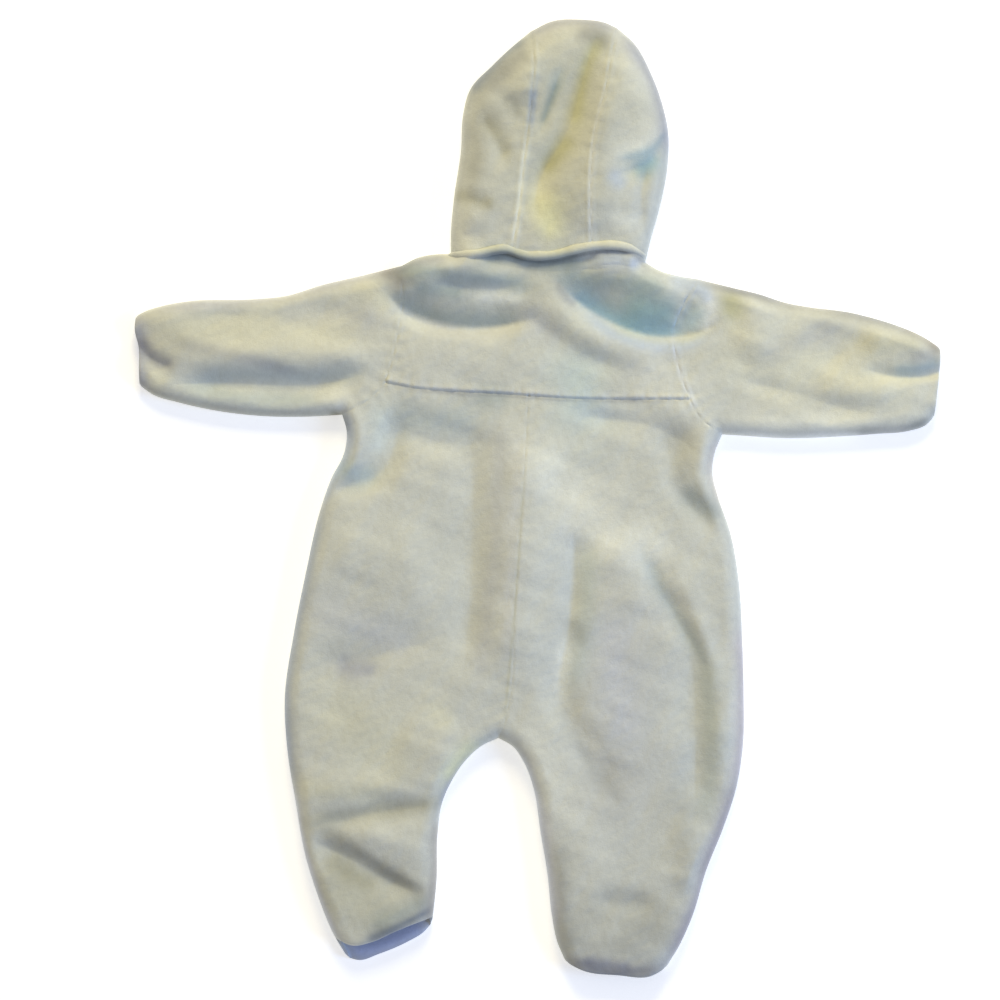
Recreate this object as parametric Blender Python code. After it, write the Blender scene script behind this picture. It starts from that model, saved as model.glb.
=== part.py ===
"""A baby's hooded fleece snowsuit, laid flat on its front with the back up.

Metres, +Z up, and the floor is z = 0.  +Y runs up the garment to the hood, +X to the
wearer's right, and the origin lies on the floor under the middle of the garment.

Lengths in the tables are in millimetres.  Their zero is where the yoke seam meets the
centre-back seam.  Every cloth piece is a wall: its outer face is worked out from its own
four edges and from one height rule, and its inner face lies one wall deeper.
"""
import bpy
import numpy as np
from mathutils import Matrix

MM = 0.001
ORIGIN_X = 5.0          # the middle of the whole garment, in the tables' millimetres
ORIGIN_Y = -75.7

# ---- Cloth -----------------------------------------------------------------------------
WALL = 2.5            # fleece with its pile
GAP = 0.3             # between two pieces at a seam
RIM = 4.5             # height of the side edges, where back and front layers meet
BODY_CROWN = 17.0     # how high the back layer lies over the floor
SLEEVE_CROWN = 15.0
HOOD_CROWN = 25.0
HEM_DROP = 2.5        # the layers lie closer at the cuffs and hems
HEM_REACH = 16.0
BODY_ROUND = 14.0     # how far in from a side edge the back layer has reached its crown
HOOD_ROUND = 26.0
FRONT_ROUND = 5.0     # the same for the front layer, which rises from the floor
LOWEST = 7.4          # the deepest fold stops here, on the front layer
LIMIT_SOFTNESS = 1.2

# ---- Outline: the folded side edges, seen from above -------------------------------------
NECK_LEFT = (-69, 112)
NECK_RIGHT = (87, 115)
ARM_LEFT = (-108, 100)
ARM_RIGHT = (130, 104)
UNDERARM_LEFT = (-145, -23)
UNDERARM_RIGHT = (157, -19)
CROTCH = (-7, -273)
CROWN_LEFT = (-16, 294)
CROWN_RIGHT = (53, 301)

SHOULDER_LEFT = [ARM_LEFT, (-95, 107.5), (-81, 111), NECK_LEFT]
SHOULDER_RIGHT = [ARM_RIGHT, (112, 106), (99, 109), NECK_RIGHT]
SLEEVE_TOP_LEFT = [ARM_LEFT, (-140, 90), (-170, 81), (-200, 70), (-225, 66), (-275, 62),
                   (-303, 56), (-318, 44)]
SLEEVE_TOP_RIGHT = [ARM_RIGHT, (160, 100), (190, 94), (220, 89), (265, 85), (295, 78),
                    (315, 70), (327, 58)]
SLEEVE_UNDER_LEFT = [UNDERARM_LEFT, (-172, -25), (-205, -27), (-245, -26), (-275, -21),
                     (-300, -17), (-313, -7)]
SLEEVE_UNDER_RIGHT = [UNDERARM_RIGHT, (175, -19), (205, -19), (250, -15), (280, -11),
                      (308, -6), (325, 5)]
CUFF_LEFT = [(-318, 44), (-318, 30), (-314.5, 8), (-313, -7)]
CUFF_RIGHT = [(327, 58), (328, 44), (327, 24), (325, 5)]
SIDE_LEFT = [UNDERARM_LEFT, (-143, -38), (-145, -54), (-153, -72), (-161, -100),
             (-169, -148), (-176, -200), (-180, -250), (-175, -295), (-166, -335),
             (-156, -376), (-143, -410), (-130, -437), (-117, -456)]
SIDE_RIGHT = [UNDERARM_RIGHT, (152, -34), (151, -50), (156, -67), (168, -96), (178, -138),
              (183, -180), (187, -225), (189, -265), (186, -300), (177, -335),
              (166, -368), (157, -406), (148, -430), (138, -449)]
INSEAM_LEFT = [CROTCH, (-20, -280), (-31, -291), (-42, -309), (-49, -328), (-51, -352),
               (-49.5, -390), (-51, -424)]
INSEAM_RIGHT = [CROTCH, (5, -279), (15, -292), (24, -313), (31, -345), (39, -380),
                (44, -410), (50, -433), (58, -449)]
HOOD_EDGE_LEFT = [NECK_LEFT, (-70, 130), (-69, 160), (-66, 195), (-66, 225), (-62, 244),
                  (-45, 265), (-31, 280), CROWN_LEFT]
HOOD_EDGE_TOP = [CROWN_LEFT, (0, 303), (25, 306), (42, 305), CROWN_RIGHT]
HOOD_EDGE_RIGHT = [NECK_RIGHT, (90, 132), (96, 160), (100, 192), (99, 220), (93, 242),
                   (82, 267), (68, 289), CROWN_RIGHT]

# ---- Open edges --------------------------------------------------------------------------
HEM_LEFT = [SIDE_LEFT[-1], (-108, -458), (-92, -452), (-70, -441), (-57, -432),
            INSEAM_LEFT[-1]]
HEM_RIGHT = [SIDE_RIGHT[-1], (125, -455), (100, -455), (75, -454), INSEAM_RIGHT[-1]]
BACK_HEM_LEFT_Y = (-443, -408)     # where the back leg ends, at its outer and inner edge
BACK_HEM_LEFT = [(-88, -434), (-61, -421)]
BACK_HEM_RIGHT_Y = (-445, -445)
BACK_HEM_RIGHT = [(123, -451), (100, -451.5), (76, -450.5)]

# ---- Seams between the side edges ----------------------------------------------------------
YOKE_LEFT = (-112, 8)
YOKE_RIGHT = (129, 7)
CENTRE_BACK = (0, 0.5)
ARMHOLE_LEFT = [ARM_LEFT, (-105, 72), (-107, 46), YOKE_LEFT]
ARMHOLE_RIGHT = [ARM_RIGHT, (119, 82), (113, 60), (118, 34), YOKE_RIGHT]
ARMHOLE_LEFT_LOW = [UNDERARM_LEFT, (-125, -9), YOKE_LEFT]
ARMHOLE_RIGHT_LOW = [YOKE_RIGHT, (139, -8), UNDERARM_RIGHT]
FRONT_ARMHOLE_LEFT = [ARM_LEFT, (-96, 66), (-99, 30), (-118, 0), UNDERARM_LEFT]
FRONT_ARMHOLE_RIGHT = [ARM_RIGHT, (113, 68), (113, 32), (131, 3), UNDERARM_RIGHT]
YOKE_SEAM_LEFT = [YOKE_LEFT, (-62, 4), CENTRE_BACK]
YOKE_SEAM_RIGHT = [CENTRE_BACK, (58, 2), YOKE_RIGHT]
CENTRE_SEAM = [CENTRE_BACK, (0.5, -85), (-0.5, -170), (0, -240), (-3, -260), CROTCH]
BACK_NECK = [NECK_LEFT, (-39, 107), (-4, 103), (28, 104), (50, 109), (70, 113), NECK_RIGHT]
HOOD_SEAM_LEFT = [(-20, 118), (-17, 150), (-15.5, 185), (-13.5, 215), (-12, 244),
                  (-12, 268), CROWN_LEFT]
HOOD_SEAM_RIGHT = [(43, 125), (39.5, 160), (38.5, 190), (40.5, 220), (46, 248),
                   (49, 275), CROWN_RIGHT]

# ---- Zip, down the centre front ------------------------------------------------------------
ZIP_X = 3.0
ZIP_HALF_OPENING = 6.5         # from the zip's middle to the folded cloth edge
ZIP_BOTTOM = -214.0
ZIP_SEAM_START = -228.0        # below this the fronts are sewn to each other
ZIP_LIFT = 0.8                 # the fronts rise off the floor beside the zip
ZIP_LIFT_REACH = 30.0
NECK_FRONT_Y = 80.0
BAND_FRONT_Y = 92.0

FRONT_NECK_LEFT = [NECK_LEFT, (-54, 103), (-33, 90), (-15, 82),
                   (ZIP_X - ZIP_HALF_OPENING, NECK_FRONT_Y)]
FRONT_NECK_RIGHT = [NECK_RIGHT, (70, 104), (44, 91), (22, 82),
                    (ZIP_X + ZIP_HALF_OPENING, NECK_FRONT_Y)]

# ---- Hood and neckband, where the hood is sewn on (the band's upper edge) ------------------
BAND_TOP_LEFT_Y = 116          # where the band's upper edge meets the hood's side edges
BAND_TOP_RIGHT_Y = 120
BAND_TOP_LEFT = [(-50, 115.5), (-34, 118)]
BAND_TOP_MIDDLE = [HOOD_SEAM_LEFT[0], (-8, 115.5), (10, 116), (28, 121), HOOD_SEAM_RIGHT[0]]
BAND_TOP_RIGHT = [(60, 125.5), (75, 123)]
BAND_FRONT_LEFT = [(-50, 112), (-30, 101), (-13, 94),
                   (ZIP_X - ZIP_HALF_OPENING, BAND_FRONT_Y)]
BAND_FRONT_RIGHT = [(68, 113), (42, 102), (20, 94),
                    (ZIP_X + ZIP_HALF_OPENING, BAND_FRONT_Y)]
FACE_LEFT = [BAND_FRONT_LEFT[-1], (-14, 114), (-23, 145), (-27, 185), (-24, 215)]
FACE_RIGHT = [BAND_FRONT_RIGHT[-1], (24, 114), (44, 145), (52, 185), (52, 220)]
FOREHEAD_LEFT = (-14, 237)
FOREHEAD_RIGHT = (44, 241)
FOREHEAD = [FOREHEAD_LEFT, (15, 246), FOREHEAD_RIGHT]
UNDER_SEAM_LEFT = [CROWN_LEFT, (-16, 268), FOREHEAD_LEFT]
UNDER_SEAM_RIGHT = [CROWN_RIGHT, (50, 272), FOREHEAD_RIGHT]

# ---- Rolled hem over the seam between band and hood ----------------------------------------
ROLL_LINE = [(-67, 112), (-57, 112.5), (-45, 114.5), (-34, 118), (-26, 119.4), (-18, 117.3),
             (-10, 115.4), (2, 115.2), (14, 116.5), (24, 119.7), (35, 123.2), (45, 125),
             (56, 125.3), (67, 124), (76, 121.8), (85, 118.2)]
ROLL_HALF_WIDTH = 4.3
ROLL_HEIGHT = 4.8
ROLL_CLEAR = 0.8               # over the pieces that it lies on
ROLL_CELLS = 36
ROLL_SIDES = 8

# ---- Zip parts.  Heights are over the floor; the zip's outer side looks down at it ---------
TAPE_INNER = 2.4               # from the zip's middle to the tape's edge at the teeth
TAPE_OUTER = 15.0
TAPE_Z = (3.6, 4.6)
TAPE_TOP = 91.0
TAPE_BOTTOM = -224.0
CHAIN_HALF_WIDTH = 2.0
CHAIN_Z = (3.3, 4.9)
CHAIN_TOP = 84.6
CHAIN_BOTTOM = -220.0
SLIDER_Y = (78.0, 88.0)
SLIDER_HALF_WIDTH = 4.6
SLIDER_OUTER_Z = (2.4, 3.0)
SLIDER_INNER_Z = (5.2, 5.9)
SLIDER_POST = (1.2, 85.2, 87.4)   # half width, lower and upper end of the post between tapes
LUG_X = (1.5, 2.4)             # from the zip's middle
LUG_HALF_LENGTH = 1.3
LUG_BOTTOM = 0.15
PIVOT_Y = 82.0
PIVOT_Z = 1.25
PIVOT_HOLE = 0.65
PIN_RADIUS = 0.4
TAB_Z = (0.8, 1.7)
# Columns: distance from the pivot along the tab, and half its width there.
TAB_OUTLINE = [(-0.9, 1.1), (2.2, 1.1), (4.4, 2.6), (8.0, 3.4), (16.0, 3.8), (18.6, 3.2),
               (20.0, 1.6)]

# ---- Folds of the back layer ---------------------------------------------------------------
# Columns: name, rise (negative for a trough), width to the left and to the right of the
# line as it runs, and the line's points.
FOLDS = [
    ("shoulder_left_ridge", 4.0, 12, 15, [(-116, 98), (-78, 95), (-40, 95), (-6, 90)]),
    ("shoulder_left_hollow", -7.8, 18, 9,
     [(-118, 84), (-99, 66), (-72, 53), (-45, 50), (-18, 54), (10, 64)]),
    ("shoulder_left_crease", -2.8, 7, 7, [(-80, 87), (-47, 85), (-8, 88)]),
    ("yoke_cross_ridge", 4.8, 9, 9,
     [(4, 98), (18, 80), (34, 67), (56, 54), (84, 45), (118, 34)]),
    ("shoulder_right_ridge", 4.0, 12, 17, [(28, 102), (60, 99), (88, 95), (112, 86), (124, 72)]),
    ("shoulder_right_hollow", -8.0, 22, 9,
     [(14, 98), (35, 77), (54, 65), (78, 56), (102, 50), (122, 51), (137, 63), (146, 82)]),
    ("yoke_lower_trough", -2.8, 9, 9, [(0, 70), (28, 54), (54, 41), (86, 30), (120, 18)]),
    ("under_yoke_left", -3.4, 13, 16, [(-118, -16), (-80, -28), (-40, -32), (-16, -28)]),
    ("under_yoke_right", -3.4, 13, 13, [(28, -12), (66, -20), (104, -30)]),
    ("left_underarm_ridge", 3.6, 11, 11, [(-146, -16), (-138, -46), (-148, -82)]),
    ("left_underarm_tuck", -5.4, 15, 9,
     [(-92, -16), (-106, -40), (-114, -62), (-136, -84), (-168, -92)]),
    ("right_underarm_ridge", 4.4, 12, 12, [(118, -4), (138, -36), (150, -66), (162, -100)]),
    ("right_underarm_tuck", -5.0, 13, 14,
     [(92, -14), (106, -44), (114, -74), (136, -94), (174, -102)]),
    ("centre_back_ridge", 6.0, 23, 22, [(3, 4), (3, -70), (2, -150), (-1, -250)]),
    ("centre_left_trough", -4.0, 13, 19, [(-50, -16), (-44, -90), (-41, -160), (-48, -236)]),
    ("left_side_mound", 3.4, 28, 30, [(-160, -116), (-112, -136), (-62, -130)]),
    ("left_hip_trough", -4.0, 20, 20, [(-36, -196), (-72, -216), (-112, -238), (-162, -250)]),
    ("right_seat_crease", -6.0, 14, 12,
     [(45, -92), (44, -150), (42, -206), (44, -250), (56, -290), (78, -322), (104, -332)]),
    ("right_hip_crease", -5.0, 10, 17,
     [(106, -116), (130, -162), (145, -212), (152, -258), (148, -316)]),
    ("right_side_ridge", 3.2, 10, 9, [(118, -104), (153, -172), (168, -236), (170, -320)]),
    ("left_knee_trough", -3.4, 9, 9, [(-176, -350), (-128, -338), (-92, -333), (-44, -328)]),
    ("left_shin_ridge", 3.6, 12, 10, [(-128, -342), (-88, -358), (-50, -370)]),
    ("left_shin_crease", -6.0, 12, 9,
     [(-166, -362), (-136, -374), (-106, -380), (-80, -391), (-44, -408)]),
    ("right_shin_tuck", -2.8, 11, 11, [(74, -392), (106, -396), (138, -390)]),
    ("left_sleeve_ridge", 4.0, 12, 13, [(-312, 22), (-250, 19), (-200, 23), (-150, 26), (-96, 30)]),
    ("left_sleeve_trough", -5.8, 12, 9, [(-288, 2), (-232, -4), (-192, -7), (-156, -4), (-124, 8)]),
    ("left_cuff_trough", -4.0, 9, 9, [(-332, 26), (-306, 13), (-278, 7)]),
    ("right_sleeve_ridge", 3.8, 15, 13, [(160, 106), (176, 84), (178, 62), (166, 38)]),
    ("right_elbow_trough", -4.0, 15, 15, [(214, 68), (238, 56), (254, 42)]),
    ("right_cuff_wedge", -4.8, 9, 8, [(256, 42), (288, 36), (310, 41), (336, 56)]),
    ("right_sleeve_trough", -3.0, 9, 10, [(160, 26), (214, 15), (250, 4), (286, 2)]),
    ("hood_long_trough", -8.0, 15, 17,
     [(38, 300), (26, 268), (17, 240), (8, 214), (-1, 190), (-6, 168), (-4, 136)]),
    ("hood_right_ridge", 4.0, 22, 20, [(56, 290), (50, 240), (45, 200), (42, 150), (34, 118)]),
    ("hood_right_tuck", -6.0, 12, 9, [(112, 222), (92, 199), (78, 187), (62, 176), (44, 172)]),
    ("hood_left_tuck", -3.0, 8, 9, [(-56, 232), (-36, 206), (-22, 186)]),
]
FOLD_TAPER = 0.3      # share of a fold's length over which each end dies away
FOLD_EDGE_FADE = 14.0  # folds die away over this distance from a side edge

# ---- Grid: cells along each kind of edge -----------------------------------------------------
YOKE_ROWS = 11
SHOULDER_CELLS = 3
NECK_SIDE_CELLS = 6
NECK_MIDDLE_CELLS = 6
YOKE_LEFT_CELLS = 11
YOKE_RIGHT_CELLS = 13
ARMHOLE_LOW_CELLS = 4
CENTRE_SEAM_ROWS = 20
INSEAM_ROWS = 13
FRONT_ARMHOLE_CELLS = 9
FRONT_NECK_CELLS = 5
ZIP_ROWS = 17
ZIP_TURN_ROWS = 1
FRONT_SEAM_ROWS = 3
FRONT_INSEAM_ROWS = 12
SLEEVE_ROWS = 16
HOOD_ROWS = 17
HOOD_UNDER_ROWS = 5
BAND_ROWS = 2
EDGE_POWER = 1.6      # cells crowd towards a side edge by this power

CURVE_STEP = 3.0
TOUCHING = 0.05       # segments this close to the nearest count as touching too
ON_EDGE = 0.4         # nearer than this to a side edge counts as on it
STEEPEST_SEAM = 0.35   # least sine between a seam and the grid line that meets it


# ---- Curves --------------------------------------------------------------------------------
def lengths(line):
    """Running length at each point of a line."""
    return np.r_[0.0, np.cumsum(np.linalg.norm(np.diff(line, axis=0), axis=1))]


def along(line, fractions):
    """Points at the given fractions of a line's length."""
    run = lengths(line)
    where = np.asarray(fractions) * run[-1]
    return np.stack([np.interp(where, run, axis) for axis in line.T], axis=1)


def smooth(points, step=CURVE_STEP):
    """A smooth curve through the points, as even points about one step apart."""
    p = np.array(points, float)
    knots = lengths(p)
    slope = np.gradient(p, knots, axis=0)
    s = np.linspace(0.0, knots[-1], int(knots[-1] / step * 6) + 2)
    i = np.clip(np.searchsorted(knots, s, side="right") - 1, 0, len(p) - 2)
    h = (knots[i + 1] - knots[i])[:, None]
    t = (s - knots[i])[:, None] / h
    line = (1 + 2 * t) * (1 - t) ** 2 * p[i] + t * (1 - t) ** 2 * h * slope[i]
    line += t * t * (3 - 2 * t) * p[i + 1] + t * t * (t - 1) * h * slope[i + 1]
    count = int(np.ceil(lengths(line)[-1] / step)) + 1
    return along(line, np.linspace(0.0, 1.0, count))


def cut_at_y(line, y):
    """The line from its start down to where it first passes height y."""
    past = int(np.argmax(line[:, 1] < y))
    a, b = line[past - 1], line[past]
    end = a + (b - a) * (a[1] - y) / (a[1] - b[1])
    return np.vstack([line[:past], end])


def crowd(cells, start=False, end=False):
    """Fractions 0 to 1 in equal counts, crowded towards the start, the end or both."""
    u = np.linspace(0.0, 1.0, cells + 1)
    if start and end:
        low = 0.5 * (2 * u) ** EDGE_POWER
        high = 1 - 0.5 * (2 * (1 - u)) ** EDGE_POWER
        return np.where(u < 0.5, low, high)
    if start:
        return u ** EDGE_POWER
    if end:
        return 1 - (1 - u) ** EDGE_POWER
    return u


def chain(*runs):
    """Join sampled lines end to end, keeping each shared point once."""
    return np.vstack([runs[0]] + [run[1:] for run in runs[1:]])


def share(line):
    """Each point's fraction of the line's length."""
    run = lengths(line)
    return run / run[-1]


def patch(top, bottom, left, right):
    """Grid of points that meets its four edges.  Rows run from top to bottom."""
    v = (0.5 * (share(left) + share(right)))[:, None, None]
    u = (1 - v) * share(top)[None, :, None] + v * share(bottom)[None, :, None]
    ruled = (1 - v) * top[None] + v * bottom[None]
    left_miss = left[:, None] - ruled[:, :1]
    right_miss = right[:, None] - ruled[:, -1:]
    return ruled + (1 - u) * left_miss + u * right_miss


# ---- The side edges as one set of segments ---------------------------------------------------
shoulder_left = smooth(SHOULDER_LEFT)
shoulder_right = smooth(SHOULDER_RIGHT)
sleeve_top_left = smooth(SLEEVE_TOP_LEFT)
sleeve_top_right = smooth(SLEEVE_TOP_RIGHT)
sleeve_under_left = smooth(SLEEVE_UNDER_LEFT)
sleeve_under_right = smooth(SLEEVE_UNDER_RIGHT)
side_left = smooth(SIDE_LEFT)
side_right = smooth(SIDE_RIGHT)
inseam_left = smooth(INSEAM_LEFT)
inseam_right = smooth(INSEAM_RIGHT)
hood_edge_left = smooth(HOOD_EDGE_LEFT)
hood_edge_top = smooth(HOOD_EDGE_TOP)
hood_edge_right = smooth(HOOD_EDGE_RIGHT)
# Each runs with the cloth on its left.
FOLD_EDGES = [shoulder_left[::-1], shoulder_right, sleeve_top_left, sleeve_top_right[::-1],
              sleeve_under_left[::-1], sleeve_under_right, side_left, side_right[::-1],
              inseam_left[::-1], inseam_right, hood_edge_left[::-1], hood_edge_top[::-1],
              hood_edge_right]
OPEN_EDGES = [smooth(edge) for edge in (CUFF_LEFT, CUFF_RIGHT, HEM_LEFT, HEM_RIGHT)]


def nearest(xy, lines):
    """Nearest point of a set of lines to each point.

    Returns its distance, the step from it, the direction of the line there, how far along
    the lines it is, and the sum of the left-hand normals of the segments it touches.
    """
    start = np.vstack([line[:-1] for line in lines])
    run = np.vstack([np.diff(line, axis=0) for line in lines])
    size = np.linalg.norm(run, axis=1)
    unit = run / size[:, None]
    reach = np.einsum("pk,sk->ps", xy, unit) - np.sum(start * unit, axis=1)
    reach = np.clip(reach, 0.0, size)
    foot = start[None] + reach[..., None] * unit[None]
    distance = np.linalg.norm(xy[:, None] - foot, axis=2)
    best = np.argmin(distance, axis=1)
    rows = np.arange(len(xy))
    gap = distance[rows, best]
    travelled = np.r_[0.0, np.cumsum(size)][best] + reach[rows, best]
    touching = distance < gap[:, None] + TOUCHING
    normal = np.stack([-unit[:, 1], unit[:, 0]], axis=1)
    return gap, xy - foot[rows, best], unit[best], travelled, touching @ normal


def away_from_edge(xy):
    """Distance in from the side edges, and the direction that leads inwards."""
    gap, off, direction, travelled, on_edge = nearest(xy, FOLD_EDGES)
    inwards = np.where((gap > ON_EDGE)[:, None], off, on_edge)
    inwards /= np.maximum(np.linalg.norm(inwards, axis=1), 1e-9)[:, None]
    return gap, inwards


# ---- Height of the layers ----------------------------------------------------------------------
def rise_between(value, low, high):
    """0 below low, 1 above high, smooth between."""
    t = np.clip((value - low) / (high - low), 0.0, 1.0)
    return t * t * (3 - 2 * t)


def fold_rise(xy):
    """Sum of all the folds' rises at each point."""
    total = np.zeros(len(xy))
    for name, rise, width_left, width_right, points in FOLDS:
        line = smooth(points)
        gap, off, direction, travelled, normal = nearest(xy, [line])
        left = direction[:, 0] * off[:, 1] - direction[:, 1] * off[:, 0] > 0
        width = np.where(left, width_left, width_right)
        reach = travelled / lengths(line)[-1]
        taper = rise_between(np.minimum(reach, 1 - reach), 0.0, FOLD_TAPER)
        total += rise * taper * np.exp(-(gap / width) ** 2)
    return total


def hood_share(xy):
    return rise_between(xy[:, 1], 118.0, 150.0)


def crown_height(xy, gap):
    """Height of the back layer's outer face, away from its side edges."""
    from_middle = np.abs(xy[:, 0] - 5.0)
    sleeve = rise_between(from_middle, 130.0, 175.0) * rise_between(xy[:, 1], -60.0, -25.0)
    base = BODY_CROWN + (SLEEVE_CROWN - BODY_CROWN) * sleeve
    base += (HOOD_CROWN - base) * hood_share(xy)
    to_hem = nearest(xy, OPEN_EDGES)[0]
    base -= HEM_DROP * np.exp(-(to_hem / HEM_REACH) ** 2)
    height = base + fold_rise(xy) * rise_between(gap, 0.0, FOLD_EDGE_FADE)
    over = (height - LOWEST) / LIMIT_SOFTNESS
    return LOWEST + LIMIT_SOFTNESS * np.logaddexp(0.0, over)


def front_floor(xy):
    """Height of the front layer's outer face: the floor, but a little up at the zip."""
    across = 1 - rise_between(np.abs(xy[:, 0] - ZIP_X), 12.0, ZIP_LIFT_REACH)
    lengthwise = rise_between(xy[:, 1], ZIP_SEAM_START - 25.0, ZIP_BOTTOM - 5.0)
    below_hood = 1 - rise_between(xy[:, 1], BAND_FRONT_Y + 3.0, BAND_FRONT_Y + 30.0)
    return ZIP_LIFT * across * lengthwise * below_hood


def lift(grid, side, rim, clear):
    """Outer and inner face of a piece.

    side is +1 where a point is on the back layer, -1 on the front layer and 0 on a side
    edge.  rim is the piece's own offset from the height of the side edge.  clear is how
    far each point stands off its seam; two pieces share the heights along their seam.
    """
    xy = grid.reshape(-1, 2)
    side = side.reshape(-1)
    gap, inwards = away_from_edge(xy)
    gap = np.where(side == 0, 0.0, gap)
    back = side >= 0
    edge_z = RIM + rim
    back_round = BODY_ROUND + (HOOD_ROUND - BODY_ROUND) * hood_share(xy)
    t = np.clip(gap / np.where(back, back_round, FRONT_ROUND), 0.0, 1.0)
    bulge = np.sqrt(1 - (1 - t) ** 2)
    level = np.where(back, crown_height(xy, gap), front_floor(xy))
    outer_z = edge_z + (level - edge_z) * bulge
    inner_z = outer_z + np.where(back, -WALL, WALL) * bulge
    outer_xy = xy + clear.reshape(-1, 2)
    inner_xy = outer_xy + inwards * (WALL * (1 - t))[:, None]
    outer = np.column_stack([outer_xy, outer_z]).reshape(*grid.shape[:2], 3)
    inner = np.column_stack([inner_xy, inner_z]).reshape(*grid.shape[:2], 3)
    return outer, inner


# ---- Meshes ------------------------------------------------------------------------------------
def material(name, colour, roughness, metallic=0.0):
    finish = bpy.data.materials.new(name)
    finish.use_nodes = True
    shader = finish.node_tree.nodes["Principled BSDF"]
    shader.inputs["Base Color"].default_value = (*colour, 1.0)
    shader.inputs["Roughness"].default_value = roughness
    shader.inputs["Metallic"].default_value = metallic
    return finish


def add_object(name, points, faces, finish):
    """An object from points in the tables' millimetres, with its faces turned outwards."""
    points = np.asarray(points, float)
    volume = 0.0
    for face in faces:
        a = points[face[0]]
        for b, c in zip(face[1:], face[2:]):
            volume += np.dot(a, np.cross(points[b], points[c]))
    if volume < 0:
        faces = [face[::-1] for face in faces]
    mesh = bpy.data.meshes.new(name)
    mesh.from_pydata(((points - (ORIGIN_X, ORIGIN_Y, 0.0)) * MM).tolist(), [], faces)
    mesh.shade_smooth()
    mesh.set_sharp_from_angle(angle=np.radians(60))
    mesh.materials.append(finish)
    thing = bpy.data.objects.new(name, mesh)
    bpy.context.scene.collection.objects.link(thing)
    return thing


def split(points, a, b, c, d):
    """A four-sided face as two triangles, on its shorter diagonal."""
    if np.linalg.norm(points[a] - points[c]) < np.linalg.norm(points[b] - points[d]):
        return [(a, b, c), (a, c, d)]
    return [(a, b, d), (b, c, d)]


def wall(name, outer, inner, side, finish, ring=False):
    """A closed wall between two grids of points.  A ring's columns close on themselves."""
    rows, columns = outer.shape[:2]
    points = np.vstack([outer.reshape(-1, 3), inner.reshape(-1, 3)])
    deep = rows * columns
    last = columns if ring else columns - 1
    faces = []
    for i in range(rows - 1):
        for j in range(last):
            k = (j + 1) % columns
            a, b = i * columns + j, i * columns + k
            c, d = (i + 1) * columns + k, (i + 1) * columns + j
            # Where a side edge crosses a cell, the cell is split along the edge.
            if side[i, j] == 0 and side[i + 1, k] == 0:
                cell = [(a, b, c), (a, c, d)]
            elif side[i, k] == 0 and side[i + 1, j] == 0:
                cell = [(a, b, d), (b, c, d)]
            else:
                cell = [(a, b, c, d)]
            faces += cell
            faces += [tuple(deep + corner for corner in face[::-1]) for face in cell]
    for j in range(last):
        k = (j + 1) % columns
        end = (rows - 1) * columns
        faces += split(points, deep + j, deep + k, k, j)
        faces += split(points, end + j, end + k, deep + end + k, deep + end + j)
    if not ring:
        for i in range(rows - 1):
            a, b = i * columns, (i + 1) * columns
            faces += split(points, a, b, deep + b, deep + a)
            a, b = a + columns - 1, b + columns - 1
            faces += split(points, deep + a, deep + b, b, a)
    return add_object(name, points, faces, finish)


def draw_in(grid, border, marks, ring=False):
    """Move the marked points of one border half a gap into the piece."""
    moved = grid.copy()
    row, beyond, target = {"top": (grid[0], grid[1], moved[0]),
                           "bottom": (grid[-1], grid[-2], moved[-1]),
                           "left": (grid[:, 0], grid[:, 1], moved[:, 0]),
                           "right": (grid[:, -1], grid[:, -2], moved[:, -1])}[border]
    way = beyond - row
    way /= np.linalg.norm(way, axis=1)[:, None]
    ends = (row[-1:], row[:1]) if ring else (row[:1], row[-1:])
    line = np.vstack([ends[0], row, ends[1]])
    run = np.diff(line, axis=0)
    clear = np.ones(len(row))
    for edge in (run[:-1], run[1:]):
        size = np.linalg.norm(edge, axis=1)
        across = np.abs(edge[:, 0] * way[:, 1] - edge[:, 1] * way[:, 0])
        clear = np.where(size > 0, np.minimum(clear, across / np.maximum(size, 1e-9)), clear)
    step = GAP / 2 / np.maximum(clear, STEEPEST_SEAM)
    target += way * (step * marks)[:, None]
    return moved


def sheet(name, grid, side, finish, seams, rim=0.0, ring=False):
    """Build a piece.  seams lists (border, mask) pairs that stand clear of a neighbour."""
    moved = grid
    for border, marks in seams:
        moved = draw_in(moved, border, marks, ring)
    outer, inner = lift(grid, side, rim, moved - grid)
    return wall(name, outer, inner, side, finish, ring)


def mask(count, low=0, high=None):
    """1 on points low to high of a border, 0 elsewhere."""
    marks = np.zeros(count)
    marks[low:high] = 1.0
    return marks


# ---- Shared seam samples -----------------------------------------------------------------------
yoke_armhole_left = along(smooth(ARMHOLE_LEFT), crowd(YOKE_ROWS, start=True))
yoke_armhole_right = along(smooth(ARMHOLE_RIGHT), crowd(YOKE_ROWS, start=True))
low_armhole_left = along(smooth(ARMHOLE_LEFT_LOW), crowd(ARMHOLE_LOW_CELLS, start=True))
low_armhole_right = along(smooth(ARMHOLE_RIGHT_LOW), crowd(ARMHOLE_LOW_CELLS, end=True))
yoke_seam_left = along(smooth(YOKE_SEAM_LEFT), crowd(YOKE_LEFT_CELLS))
yoke_seam_right = along(smooth(YOKE_SEAM_RIGHT), crowd(YOKE_RIGHT_CELLS))
centre_seam = along(smooth(CENTRE_SEAM), crowd(CENTRE_SEAM_ROWS, end=True))
front_armhole_left = along(smooth(FRONT_ARMHOLE_LEFT),
                           crowd(FRONT_ARMHOLE_CELLS, start=True, end=True))
front_armhole_right = along(smooth(FRONT_ARMHOLE_RIGHT),
                            crowd(FRONT_ARMHOLE_CELLS, start=True, end=True))
front_neck_left = along(smooth(FRONT_NECK_LEFT), crowd(FRONT_NECK_CELLS, start=True))
front_neck_right = along(smooth(FRONT_NECK_RIGHT), crowd(FRONT_NECK_CELLS, start=True))


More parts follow.
